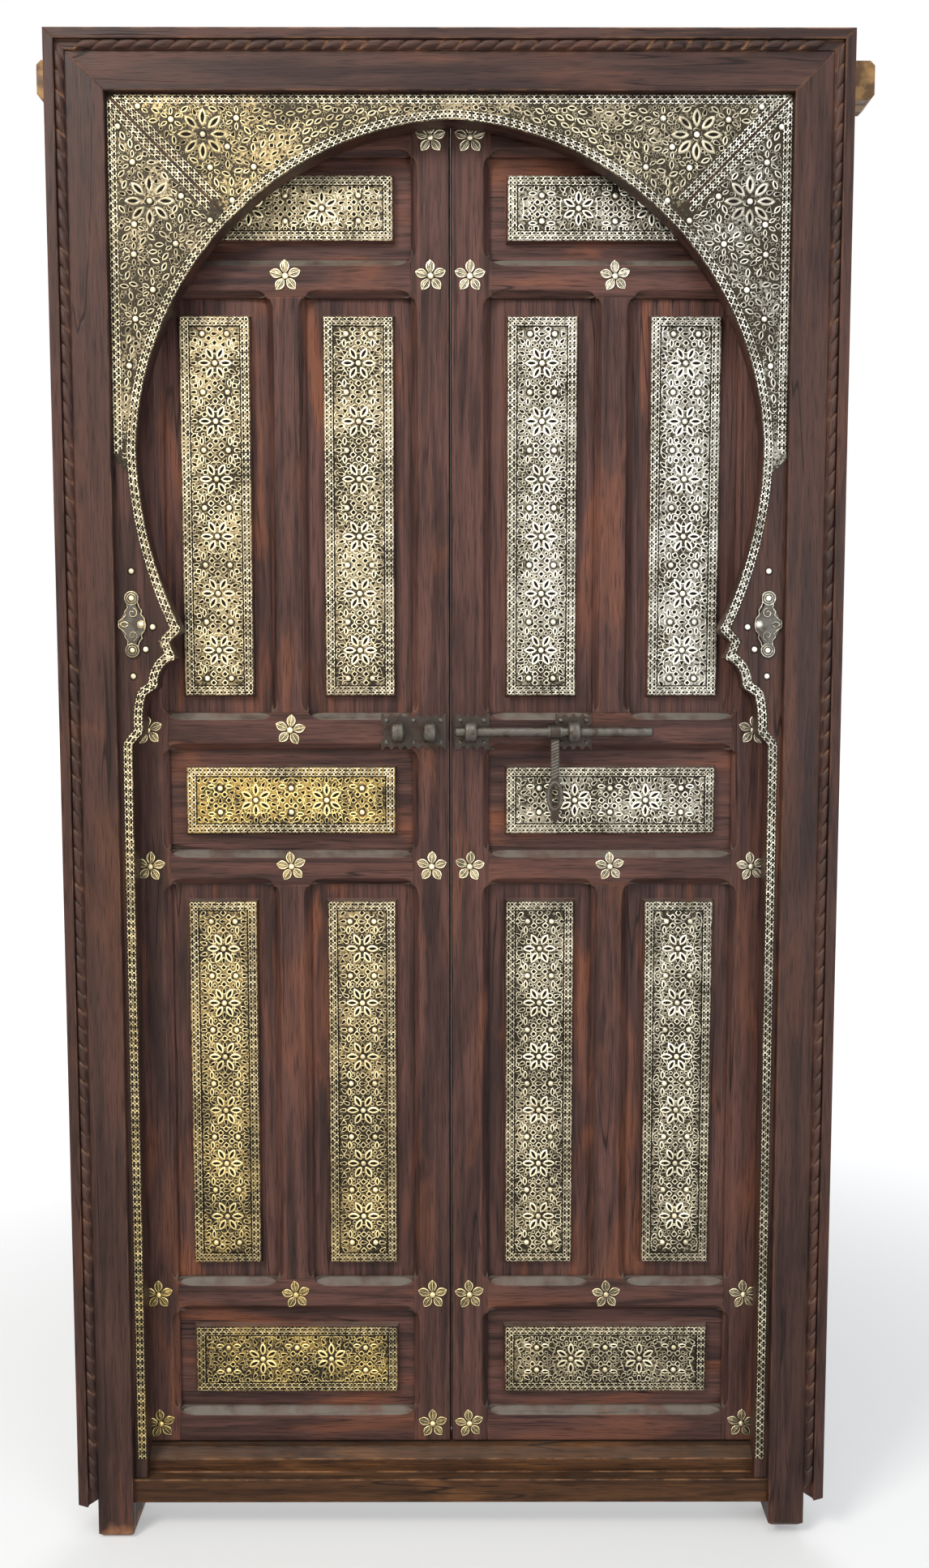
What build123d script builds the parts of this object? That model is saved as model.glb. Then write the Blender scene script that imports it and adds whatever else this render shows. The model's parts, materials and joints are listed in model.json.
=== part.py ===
from build123d import *
import os

os.makedirs("parts", exist_ok=True)

# Arched double door in its frame. x runs across, y from the front (negative) to the back, z up.
# The origin is in the middle of the sill's underside. All lengths are millimetres.

# Frame
frame_width = 1190.0
frame_height = 2272.0
jamb_width = 56.0
jamb_depth = 100.0
head_height = 56.0
left_foot_length = 55.0
right_foot_length = 38.0
foot_wear = 7.0
left_horn_length = 22.0
right_horn_length = 40.0
horn_setback = 34.0
mitre_depth = 30.0
frame_tenon_length = 34.0
frame_tenon_thickness = 28.0

# Rope moulding round the frame
moulding_width = 29.0
moulding_depth = 33.0
moulding_proud = 9.0
rope_width = 14.0
rope_height = 7.0
rope_pitch = 28.0
rope_gap = 5.0
rope_slant = 8.0
rope_side_angle = 28.0
left_moulding_lift = 2.0
right_moulding_lift = 12.0
break_depth = 9.0

# Stepped sill
sill_height = 72.0
sill_setback = 8.0
tread_height = 38.0
riser_height = 60.0
riser_setback = 30.0
bevel_setback = 46.0
sill_tenon_height = 24.0

# Horseshoe arch
arch_setback = 12.0
arch_board_thickness = 36.0
crown_height = 2150.0
spring_height = 1668.0
arch_half_width = 474.5
tip_height = 1397.0
tip_half_width = 411.0
step_height = 1222.0
straight_half_width = 489.0
# Points of the outline between those sizes: across from the tip to the straight, down from the tip to the step
shoulder_shares = (0.683, 0.7075)
waist_shares = (0.964, 0.51)
notch_shares = (0.24, 0.106)
nib_shares = (0.115, 0.243)
shelf_shares = (0.40, 0.345)
first_step_shares = (0.475, 0.497)
ledge_shares = (0.72, 0.569)
curl_shares = (0.77, 0.70)
second_step_shares = (0.78, 0.897)

# Brass on the frame
sheet_thickness = 1.2
sheet_seam = 1.5
sheet_border = 15.0
border_relief = 1.0
tail_height = 1655.0
tail_slant = 20.0
strip_width = 14.0
strip_thickness = 1.6
scroll_thickness = 3.0
scroll_disc_radius = 11.5
scroll_disc_spacing = 79.0
scroll_width = 43.0
scroll_centre_height = 1406.0
scroll_side_gap = 3.0
nail_radius = 4.6
nail_height = 3.4
nail_flats = 16
# Radius and height of the nail's shoulder and the radius of its crown
dome_shares = (0.8, 0.6, 0.36)
spandrel_rosette_radius = 38.0
spandrel_almond_length = 27.0
spandrel_almond_width = 10.0
spandrel_almonds = 8
# Places on the spandrels, as shares of the jamb's inner edge and of the arch's rise above its spring
top_rosette_shares = (0.718, 0.954)
side_rosette_shares = (0.876, 0.755)
spandrel_nail_shares = (
    (0.906, 1.037), (0.810, 0.998), (0.620, 1.002), (0.647, 0.917), (0.698, 0.855), (0.571, 0.857),
    (0.635, 0.757), (0.718, 0.954), (0.965, 0.977), (0.924, 0.871), (0.876, 0.755), (0.784, 0.770),
    (0.700, 0.697), (0.922, 0.685), (0.925, 0.595), (0.802, 0.627), (0.871, 0.488), (0.924, 0.400),
    (0.945, 0.257),
)

# Leaves
leaf_thickness = 42.0
leaf_side_gap = 3.0
leaf_head_gap = 5.0
leaf_sill_gap = 4.0
meeting_gap = 0.12
meeting_bevel = 2.34
hinge_stile_width = 63.0
meeting_stile_width = 59.94
muntin_width = 58.0
bottom_rail_height = 53.5
lower_rail_height = 54.5
middle_rail_height = 54.0
lock_rail_height = 58.0
upper_rail_height = 57.0
top_rail_height = 68.0
bottom_opening_height = 165.0
lower_opening_height = 648.0
middle_opening_height = 160.0
top_opening_height = 152.0
chamfer_face = 15.0
chamfer_stop = 2.0
chamfer_run = 26.0
groove_depth = 9.0
groove_clearance = 0.8
leaf_tenon_length = 40.0
leaf_tenon_thickness = 14.0
panel_thickness = 13.0
panel_recess = 16.0
field_margin = 28.0
field_height = 9.0
field_bevel = 3.0
rosette_radius = 26.0
almond_length = 19.0
almond_width = 8.0
tall_rosettes = 6
wide_rosettes = 2
tall_rosette_pitch = 88.0
wide_rosette_pitch = 112.0
nail_pair_offset = 19.0
almonds = 6

# Flower studs
flower_petal_radius = 9.0
flower_petal_offset = 14.0
flower_petals = 5
flower_thickness = 2.0
top_flower_drop = 10.0

# Hinges on the back
hinge_radius = 6.0
pin_radius = 3.0
pin_clearance = 0.06
pin_head_height = 3.0
hinge_plate_width = 34.0
hinge_plate_thickness = 2.6
hinge_height = 110.0
knuckle_gap = 0.4
barrel_gap = 1.0
hinge_height_shares = (0.10, 0.50, 0.90)

# Bolt and hasp
bolt_radius = 7.5
bolt_length = 310.0
bolt_end_gap = 5.94
bolt_standoff = 19.0
bolt_point = 3.0
bolt_plate_thickness = 2.0
bolt_plate_height = 56.0
bolt_plate_bite = 5.0
bolt_plate_bite_pitch = 14.0
bolt_edge_gap = 6.94
eye_radius = 17.0
eye_width = 20.0
eye_round = 5.0
eye_neck = 14.0
slide_clearance = 0.3
catch_clearance = 3.7
left_plate_length = 102.0
inner_plate_length = 54.0
outer_plate_length = 57.0
catch_eye_spacing = 50.0
right_eye_spacing = 161.0
first_eye_offset = 31.94
hasp_offset = 157.0
hasp_eye_radius = 11.5
hasp_eye_width = 14.0
hasp_thickness = 4.0
hasp_shank_width = 13.0
hasp_length = 138.0
hasp_plate_width = 27.0
hasp_plate_height = 50.0
hasp_tail_length = 13.0
hasp_slot_width = 8.5
hasp_slot_height = 32.0
collar_radius = 9.5
collar_width = 4.0

# Places worked out from the sizes above
half_frame = frame_width / 2
jamb_outer = half_frame - moulding_width
jamb_inner = jamb_outer - jamb_width
jamb_middle = (jamb_outer + jamb_inner) / 2
front_y = -jamb_depth / 2
back_y = jamb_depth / 2
head_top = frame_height - moulding_width
head_bottom = head_top - head_height
arch_front_y = front_y + arch_setback
leaf_front_y = back_y - leaf_thickness
leaf_middle_y = back_y - leaf_thickness / 2
leaf_bottom = sill_height + leaf_sill_gap
leaf_top = head_bottom - leaf_head_gap
leaf_height = leaf_top - leaf_bottom
leaf_outer = jamb_inner - leaf_side_gap
leaf_inner = meeting_gap / 2
hinge_x = jamb_inner - leaf_side_gap / 2
hinge_y = back_y + hinge_radius
sides = (("left", -1), ("right", 1))


def front_plane(y):
    """A plane seen from the front at depth y; a negative extrude from it goes back."""
    return Plane.XZ.offset(-y)


def save(piece, name):
    """Label a finished piece and write it to its own file."""
    piece.part.label = name
    export_step(piece.part, f"parts/{name}.step")


# Frame joinery: jambs, head and sill
tenon_middle_y = front_y + mitre_depth + (jamb_depth - mitre_depth) / 2
sill_tenon_middle = tread_height / 2


def make_jamb(name, side, foot_length):
    inner = side * jamb_inner
    outer = side * jamb_outer
    with BuildPart() as jamb:
        with BuildSketch(front_plane(front_y)):
            Polygon((inner, -foot_length), (outer, -foot_length), (outer, head_top), (inner, head_bottom),
                    align=None)
        extrude(amount=-mitre_depth)
        with BuildSketch(front_plane(front_y + mitre_depth)):
            Polygon((inner, -foot_length), (outer, -foot_length), (outer, head_bottom), (inner, head_bottom),
                    align=None)
        extrude(amount=-(jamb_depth - mitre_depth))
        with Locations((side * jamb_middle, tenon_middle_y, head_bottom + frame_tenon_length / 2)):
            Box(jamb_width / 2, frame_tenon_thickness, frame_tenon_length)
        with Locations((side * (jamb_inner + frame_tenon_length / 2), 0, sill_tenon_middle)):
            Box(frame_tenon_length, frame_tenon_thickness, sill_tenon_height, mode=Mode.SUBTRACT)
        chamfer(jamb.edges().group_by(Axis.Z)[0], length=foot_wear)
    save(jamb, name)


make_jamb("left_jamb", -1, left_foot_length)
make_jamb("right_jamb", 1, right_foot_length)

with BuildPart() as head:
    with BuildSketch(front_plane(front_y)):
        Polygon((-jamb_inner, head_bottom), (jamb_inner, head_bottom),
                (jamb_outer, head_top), (-jamb_outer, head_top), align=None)
    extrude(amount=-mitre_depth)
    with BuildSketch(front_plane(front_y + mitre_depth)):
        Polygon((-jamb_outer, head_bottom), (jamb_outer, head_bottom),
                (jamb_outer, head_top), (-jamb_outer, head_top), align=None)
    extrude(amount=-(jamb_depth - mitre_depth))
    with BuildSketch(front_plane(front_y + horn_setback)):
        left_horn_end = -half_frame - left_horn_length
        right_horn_end = half_frame + right_horn_length
        Polygon((left_horn_end, head_bottom), (right_horn_end, head_bottom),
                (right_horn_end, head_top), (left_horn_end, head_top), align=None)
    extrude(amount=-(jamb_depth - horn_setback))
    tenon_middle_z = head_bottom + frame_tenon_length / 2
    with Locations(*[(side * jamb_middle, tenon_middle_y, tenon_middle_z) for _, side in sides]):
        Box(jamb_width / 2, frame_tenon_thickness, frame_tenon_length, mode=Mode.SUBTRACT)
    chamfer(head.edges().filter_by(Axis.Y).group_by(Axis.X)[0], length=foot_wear)
    chamfer(head.edges().filter_by(Axis.Y).group_by(Axis.X)[-1], length=foot_wear)
save(head, "head")


def sill_section():
    """Stepped section of the sill, from its front foot round to its back, as y and z."""
    Polygon((front_y + sill_setback, 0), (front_y + sill_setback, tread_height),
            (front_y + riser_setback, tread_height), (front_y + riser_setback, riser_height),
            (front_y + bevel_setback, sill_height), (back_y, sill_height), (back_y, 0), align=None)


with BuildPart() as sill:
    with BuildSketch(Plane.YZ.offset(-jamb_inner)):
        sill_section()
    extrude(amount=2 * jamb_inner)
    sill_tenon_x = jamb_inner + frame_tenon_length / 2
    with Locations(*[(side * sill_tenon_x, 0, sill_tenon_middle) for _, side in sides]):
        Box(frame_tenon_length, frame_tenon_thickness, sill_tenon_height)
save(sill, "sill")

# Rope mouldings: a flat outer fillet and a twisted band beside it
moulding_front_y = front_y - moulding_proud
rope_bed_y = moulding_front_y + rope_height
bead_length = rope_pitch - rope_gap


def rope_bead(along_x, hand):
    """One slanted strand of the twist, seen from the front; hand turns the slant over."""
    half_width = rope_width / 2
    half_bead = bead_length / 2
    slant = hand * rope_slant
    corners = [(-half_width, -half_bead - slant), (half_width, -half_bead + slant),
               (half_width, half_bead + slant), (-half_width, half_bead - slant)]
    if along_x:
        corners = [(z, x) for x, z in corners]
    Polygon(*corners, align=None)


def make_side_moulding(name, side, lift):
    inner = side * jamb_outer
    bed_edge = side * (jamb_outer + rope_width)
    outer = side * half_frame
    rope_middle = side * (jamb_outer + rope_width / 2)
    bed_top = head_top + rope_width
    first_bead = lift + break_depth + rope_pitch
    beads = int((head_top - rope_slant - first_bead) / rope_pitch)
    with BuildPart() as moulding:
        with BuildSketch(front_plane(rope_bed_y)):
            Polygon((inner, lift + break_depth), (bed_edge, lift), (bed_edge, bed_top), (inner, head_top),
                    align=None)
        extrude(amount=-(moulding_depth - rope_height))
        with BuildSketch(front_plane(moulding_front_y)):
            Polygon((bed_edge, lift), (outer, lift + break_depth / 2),
                    (outer, frame_height), (bed_edge, bed_top), align=None)
        extrude(amount=-moulding_depth)
        with BuildSketch(front_plane(rope_bed_y)):
            with Locations(*[(rope_middle, first_bead + index * rope_pitch) for index in range(beads)]):
                rope_bead(False, side)
        extrude(amount=rope_height, taper=rope_side_angle)
    save(moulding, name)


make_side_moulding("left_moulding", -1, left_moulding_lift)
make_side_moulding("right_moulding", 1, right_moulding_lift)

with BuildPart() as top_moulding:
    top_bed = head_top + rope_width
    top_bed_half = jamb_outer + rope_width
    top_beads = int((2 * jamb_outer - rope_pitch) / rope_pitch)
    with BuildSketch(front_plane(rope_bed_y)):
        Polygon((-jamb_outer, head_top), (jamb_outer, head_top),
                (top_bed_half, top_bed), (-top_bed_half, top_bed), align=None)
    extrude(amount=-(moulding_depth - rope_height))
    with BuildSketch(front_plane(moulding_front_y)):
        Polygon((-top_bed_half, top_bed), (top_bed_half, top_bed), (half_frame, frame_height),
                (-half_frame, frame_height), align=None)
    extrude(amount=-moulding_depth)
    with BuildSketch(front_plane(rope_bed_y)):
        with Locations((0, head_top + rope_width / 2)):
            with GridLocations(rope_pitch, 0, top_beads, 1):
                rope_bead(True, 1)
    extrude(amount=rope_height, taper=rope_side_angle)
save(top_moulding, "top_moulding")

# Horseshoe opening shared by the boards, the sheets and the strips
arch_rise = crown_height - spring_height
cusp_width = straight_half_width - tip_half_width
cusp_height = tip_height - step_height
board_bottom = tread_height


def cusp_point(shares):
    """A point of the stepped cusps, from its shares of their width and height."""
    return (tip_half_width + shares[0] * cusp_width, tip_height - shares[1] * cusp_height)


def horseshoe():
    """Outline of the opening, drawn on the right and mirrored to the left."""
    crown = (0, crown_height)
    shoulder = (shoulder_shares[0] * arch_half_width, spring_height + shoulder_shares[1] * arch_rise)
    spring = (arch_half_width, spring_height)
    waist = (waist_shares[0] * arch_half_width, spring_height - waist_shares[1] * (spring_height - tip_height))
    tip = (tip_half_width, tip_height)
    with BuildLine() as outline:
        ThreePointArc(crown, shoulder, spring)
        ThreePointArc(spring, waist, tip)
        Polyline(tip, cusp_point(notch_shares), cusp_point(nib_shares))
        ThreePointArc(cusp_point(nib_shares), cusp_point(shelf_shares), cusp_point(first_step_shares))
        Line(cusp_point(first_step_shares), cusp_point(ledge_shares))
        ThreePointArc(cusp_point(ledge_shares), cusp_point(curl_shares), cusp_point(second_step_shares))
        Polyline(cusp_point(second_step_shares), (straight_half_width, step_height),
                 (straight_half_width, 0), (0, 0))
        mirror(about=Plane.YZ)
    make_face(outline.edges())


def pierced_almond(length, width):
    """A pointed hole, cut out of the sheet being drawn."""
    Polygon((-length / 2, 0), (0, -width / 2), (length / 2, 0), (0, width / 2), align=None, mode=Mode.SUBTRACT)


def domed_nails(places, y):
    """Nail heads of two tapering steps, standing on a surface at depth y, at places x and z."""
    shoulder_share, shoulder_height_share, crown_share = dome_shares
    with BuildPart() as nail:
        with BuildSketch(front_plane(0)):
            RegularPolygon(nail_radius, nail_flats)
        with BuildSketch(front_plane(-shoulder_height_share * nail_height)):
            RegularPolygon(shoulder_share * nail_radius, nail_flats)
        loft(ruled=True)
        with BuildSketch(front_plane(-shoulder_height_share * nail_height)):
            RegularPolygon(shoulder_share * nail_radius, nail_flats)
        with BuildSketch(front_plane(-nail_height)):
            RegularPolygon(crown_share * nail_radius, nail_flats)
        loft(ruled=True)
    with Locations(*[(x, y, z) for x, z in places]):
        add(nail.part)


def spandrel_place(shares):
    """A place on the right spandrel, from its shares."""
    return (shares[0] * jamb_inner, spring_height + shares[1] * arch_rise)


def spandrel_rosette(x, z):
    """A large rosette of almonds, cut out of the sheet being drawn."""
    with Locations((x, z)):
        with PolarLocations(spandrel_rosette_radius - spandrel_almond_length / 2, spandrel_almonds):
            pierced_almond(spandrel_almond_length, spandrel_almond_width)


top_rosette_x, top_rosette_z = spandrel_place(top_rosette_shares)
side_rosette_x, side_rosette_z = spandrel_place(side_rosette_shares)
mitre_run = jamb_inner - tip_half_width / 2


def side_blank(side, inset, bottom):
    """The half of the frame's inside that one side board fills before the arch is cut, up to its mitre."""
    outer = side * (jamb_inner - inset)
    inner = side * (jamb_inner - mitre_run)
    top = head_bottom - 2 * inset
    Polygon((outer, bottom), (outer, top), (inner, top - mitre_run + inset), (inner, bottom), align=None)


def top_blank(inset):
    """The strip under the head between the two mitres, before the arch is cut."""
    half = jamb_inner - 2 * inset
    top = head_bottom - inset
    Polygon((-half, top), (half, top), (half - mitre_run, top - mitre_run), (mitre_run - half, top - mitre_run),
            align=None)


for side_name, side in sides:
    with BuildPart() as side_board:
        with BuildSketch(front_plane(arch_front_y)):
            side_blank(side, 0, board_bottom)
        extrude(amount=-arch_board_thickness)
        with BuildSketch(front_plane(arch_front_y)):
            horseshoe()
        extrude(amount=-arch_board_thickness, mode=Mode.SUBTRACT)
        with BuildSketch(Plane.YZ.offset(-jamb_inner)):
            sill_section()
        extrude(amount=2 * jamb_inner, mode=Mode.SUBTRACT)
    save(side_board, f"{side_name}_arch_board")

    with BuildPart() as side_sheet:
        with BuildSketch(front_plane(arch_front_y)):
            side_blank(side, sheet_seam, tail_height - tail_slant)
            tail_edge = side * (jamb_inner - sheet_seam)
            Polygon((tail_edge, tail_height), (tail_edge - side * tail_slant, tail_height - tail_slant),
                    (tail_edge, tail_height - tail_slant), align=None, mode=Mode.SUBTRACT)
            spandrel_rosette(side * side_rosette_x, side_rosette_z)
        extrude(amount=sheet_thickness)
        with BuildSketch(front_plane(arch_front_y)):
            horseshoe()
        extrude(amount=sheet_thickness, mode=Mode.SUBTRACT)
    save(side_sheet, f"{side_name}_spandrel_sheet")

    with BuildPart() as edge_strip:
        with BuildSketch(front_plane(arch_front_y)):
            horseshoe()
            offset(amount=strip_width, kind=Kind.INTERSECTION)
        extrude(amount=strip_thickness)
        with BuildSketch(front_plane(arch_front_y)):
            horseshoe()
        extrude(amount=strip_thickness, mode=Mode.SUBTRACT)
        strip_height = tail_height - tail_slant - sheet_seam - sill_height
        with Locations((side * jamb_inner / 2, arch_front_y, sill_height + strip_height / 2)):
            Box(jamb_inner, 2 * strip_thickness, strip_height, mode=Mode.INTERSECT)
    save(edge_strip, f"{side_name}_edge_strip")

    scroll_x = side * (jamb_inner - scroll_side_gap - scroll_width / 2)
    with BuildPart() as scroll:
        with BuildSketch(front_plane(arch_front_y)):
            with Locations((scroll_x, scroll_centre_height)):
                Polygon((-scroll_width / 2, 0), (0, -scroll_disc_spacing / 2), (scroll_width / 2, 0),
                        (0, scroll_disc_spacing / 2), align=None)
                with GridLocations(0, scroll_disc_spacing, 1, 2):
                    Circle(scroll_disc_radius)
        extrude(amount=scroll_thickness)
    save(scroll, f"{side_name}_scroll_ornament")

with BuildPart() as top_board:
    with BuildSketch(front_plane(arch_front_y)):
        top_blank(0)
    extrude(amount=-arch_board_thickness)
    with BuildSketch(front_plane(arch_front_y)):
        horseshoe()
    extrude(amount=-arch_board_thickness, mode=Mode.SUBTRACT)
save(top_board, "top_arch_board")

with BuildPart() as top_sheet:
    with BuildSketch(front_plane(arch_front_y)):
        top_blank(sheet_seam)
        for _, side in sides:
            spandrel_rosette(side * top_rosette_x, top_rosette_z)
    extrude(amount=sheet_thickness)
    with BuildSketch(front_plane(arch_front_y)):
        horseshoe()
    extrude(amount=sheet_thickness, mode=Mode.SUBTRACT)
save(top_sheet, "top_spandrel_sheet")

# Leaves: frame-and-panel, each rail tenoned into the stiles and each panel held in grooves
leaf_stack = (
    ("bottom_rail", bottom_rail_height), ("bottom", bottom_opening_height),
    ("lower_rail", lower_rail_height), ("lower", lower_opening_height),
    ("middle_rail", middle_rail_height), ("middle", middle_opening_height),
    ("lock_rail", lock_rail_height), ("upper", 0),
    ("upper_rail", upper_rail_height), ("top", top_opening_height),
    ("top_rail", top_rail_height),
)
upper_opening_height = leaf_height - sum(height for _, height in leaf_stack)
levels = {}
level = leaf_bottom
for level_name, height in leaf_stack:
    level_top = level + (height or upper_opening_height)
    levels[level_name] = (level, level_top)
    level = level_top
rail_names = [name for name in levels if name.endswith("rail")]
tall_names = ("upper", "lower")
wide_names = ("bottom", "middle", "top")

# Across a leaf, from the meeting edge out to the hinges
meeting_stile_edge = leaf_inner + meeting_stile_width
hinge_stile_edge = leaf_outer - hinge_stile_width
muntin_inner = (meeting_stile_edge + hinge_stile_edge - muntin_width) / 2
muntin_outer = muntin_inner + muntin_width
wide_span = (meeting_stile_edge, hinge_stile_edge)
tall_spans = ((meeting_stile_edge, muntin_inner), (muntin_outer, hinge_stile_edge))
openings = [(wide_span, levels[name]) for name in wide_names]
openings += [(span, levels[name]) for name in tall_names for span in tall_spans]
panel_front_y = leaf_front_y + panel_recess
panel_middle_y = panel_front_y + panel_thickness / 2
field_front_y = panel_front_y - field_height


def middle(pair):
    """Half way between a pair of places."""
    return (pair[0] + pair[1]) / 2


def span_of(pair):
    """The distance between a pair of places."""
    return pair[1] - pair[0]


def cut_grooves(side):
    """Cut the grooves of every panel out of the member being made."""
    for across, up in openings:
        with Locations((side * middle(across), panel_middle_y, middle(up))):
            Box(span_of(across) + 2 * groove_depth, panel_thickness, span_of(up) + 2 * groove_depth,
                mode=Mode.SUBTRACT)


def cut_chamfer(side, edge, along_z, toward):
    """Cut a stopped chamfer with long run-outs; edge is x, z and length, toward the way into the opening."""
    x, z, length = edge
    slope = Vector(side * toward, -1, 0) if along_z else Vector(0, -1, toward)
    run = Vector(0, 0, 1) if along_z else Vector(1, 0, 0)
    middle_of_face = Vector(side * x, leaf_front_y, z) - slope.normalized() * (chamfer_face / 2)
    even_length = length - 2 * chamfer_stop - 2 * chamfer_run
    with BuildSketch(Plane(middle_of_face, run, slope)) as face:
        Rectangle(even_length, chamfer_face)
        with GridLocations(even_length, 0, 2, 1):
            Ellipse(chamfer_run, chamfer_face / 2)
    extrude(face.sketch, amount=chamfer_face, mode=Mode.SUBTRACT)


def make_stile(name, side, across, opening_edge, toward, bevel):
    """A full-height member; bevel draws back the front of its edge towards the middle of the door."""
    near, far = across
    with BuildPart() as stile:
        with BuildSketch(Plane.XY.offset(leaf_bottom)):
            Polygon((side * (near + bevel), leaf_front_y), (side * far, leaf_front_y),
                    (side * far, back_y), (side * near, back_y), align=None)
        extrude(amount=leaf_height)
        cut_grooves(side)
        for rail_name in rail_names:
            low, high = levels[rail_name]
            mortise_x = opening_edge - toward * leaf_tenon_length / 2
            with Locations((side * mortise_x, leaf_middle_y, middle((low, high)))):
                Box(leaf_tenon_length, leaf_tenon_thickness, high - low - 2 * groove_depth, mode=Mode.SUBTRACT)
        for across_opening, up in openings:
            if opening_edge in across_opening:
                cut_chamfer(side, (opening_edge, middle(up), span_of(up)), True, toward)
    save(stile, name)


def make_rail(name, side, rail_name):
    low, high = levels[rail_name]
    with BuildPart() as rail:
        with Locations((side * middle(wide_span), leaf_middle_y, middle((low, high)))):
            Box(span_of(wide_span), leaf_thickness, high - low)
        cut_grooves(side)
        with Locations((side * middle(wide_span), leaf_middle_y, middle((low, high)))):
            Box(span_of(wide_span) + 2 * leaf_tenon_length, leaf_tenon_thickness, high - low - 2 * groove_depth)
        for across, up in openings:
            if up[0] == high:
                cut_chamfer(side, (middle(across), high, span_of(across)), False, 1)
            if up[1] == low:
                cut_chamfer(side, (middle(across), low, span_of(across)), False, -1)
    save(rail, name)


def make_muntin(name, side, level_name):
    low, high = levels[level_name]
    with BuildPart() as muntin:
        with Locations((side * middle((muntin_inner, muntin_outer)), leaf_middle_y, middle((low, high)))):
            Box(muntin_width, leaf_thickness, high - low)
        cut_grooves(side)
        for edge, toward in ((muntin_inner, -1), (muntin_outer, 1)):
            cut_chamfer(side, (edge, middle((low, high)), high - low), True, toward)
    save(muntin, name)


def make_panels(name, side, holes):
    """Raised panels: a board in the grooves with a field standing off its front."""
    tongue = groove_depth - groove_clearance
    with BuildPart() as panels:
        for across, up in holes:
            with Locations((side * middle(across), panel_middle_y, middle(up))):
                Box(span_of(across) + 2 * tongue, panel_thickness, span_of(up) + 2 * tongue)
            with BuildSketch(front_plane(panel_front_y)):
                with Locations((side * middle(across), middle(up))):
                    Rectangle(span_of(across) - 2 * field_margin + 2 * field_bevel,
                              span_of(up) - 2 * field_margin + 2 * field_bevel)
            with BuildSketch(front_plane(field_front_y)):
                with Locations((side * middle(across), middle(up))):
                    Rectangle(span_of(across) - 2 * field_margin, span_of(up) - 2 * field_margin)
            loft()
    save(panels, name)


def rosette_places(across, up, count, pitch):
    """Centres of the rosettes along a plate's longer side."""
    steps = [(index - (count - 1) / 2) * pitch for index in range(count)]
    if span_of(up) > span_of(across):
        return [(middle(across), middle(up) + step) for step in steps]
    return [(middle(across) + step, middle(up)) for step in steps]


def pair_places(across, up, count, pitch):
    """Nails in pairs before, between and after the rosettes."""
    steps = [(index - count / 2) * pitch for index in range(count + 1)]
    offsets = (-nail_pair_offset, nail_pair_offset)
    if span_of(up) > span_of(across):
        return [(middle(across) + offset, middle(up) + step) for step in steps for offset in offsets]
    return [(middle(across) + step, middle(up) + offset) for step in steps for offset in offsets]


def make_plates(name, side, holes, count, pitch, first_angle):
    """Brass sheets on the fields: a raised border and rosettes of pierced almonds."""
    almond_offset = rosette_radius - almond_length / 2
    with BuildPart() as plates:
        for across, up in holes:
            width = span_of(across) - 2 * field_margin
            height = span_of(up) - 2 * field_margin
            with BuildSketch(front_plane(field_front_y)):
                with Locations((side * middle(across), middle(up))):
                    Rectangle(width, height)
                for x, z in rosette_places(across, up, count, pitch):
                    with Locations((side * x, z)):
                        with PolarLocations(almond_offset, almonds, start_angle=first_angle):
                            pierced_almond(almond_length, almond_width)
            extrude(amount=sheet_thickness)
            with BuildSketch(front_plane(field_front_y - sheet_thickness)):
                with Locations((side * middle(across), middle(up))):
                    Rectangle(width, height)
                    Rectangle(width - 2 * sheet_border, height - 2 * sheet_border, mode=Mode.SUBTRACT)
            extrude(amount=border_relief)
    save(plates, name)


def make_flowers(name, side, places):
    """Five-petal studs, each with a domed nail in its middle."""
    with BuildPart() as flowers:
        for x, z in places:
            with BuildSketch(front_plane(leaf_front_y)):
                with Locations((side * x, z)):
                    Circle(flower_petal_offset)
                    with PolarLocations(flower_petal_offset, flower_petals, start_angle=90):
                        Circle(flower_petal_radius)
            extrude(amount=flower_thickness)
        domed_nails([(side * x, z) for x, z in places], leaf_front_y - flower_thickness)
    save(flowers, name)


# Flower studs stand where rails cross stiles and muntins; the bolt takes the lock rail's meeting ends
rail_middle = {name: middle(levels[name]) for name in rail_names}
meeting_x = middle((leaf_inner, meeting_stile_edge))
muntin_x = middle((muntin_inner, muntin_outer))
hinge_stile_x = middle((hinge_stile_edge, leaf_outer))
common_flowers = []
for rail_name in ("upper_rail", "middle_rail", "lower_rail"):
    common_flowers += [(x, rail_middle[rail_name]) for x in (meeting_x, muntin_x, hinge_stile_x)]
common_flowers += [(meeting_x, rail_middle["top_rail"] - top_flower_drop)]
common_flowers += [(hinge_stile_x, rail_middle["lock_rail"])]
common_flowers += [(x, rail_middle["bottom_rail"]) for x in (meeting_x, hinge_stile_x)]
extra_flowers = {"left": [(muntin_x, rail_middle["lock_rail"])], "right": []}

hinge_heights = [leaf_bottom + share * leaf_height for share in hinge_height_shares]
knuckle_height = hinge_height / 3


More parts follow.
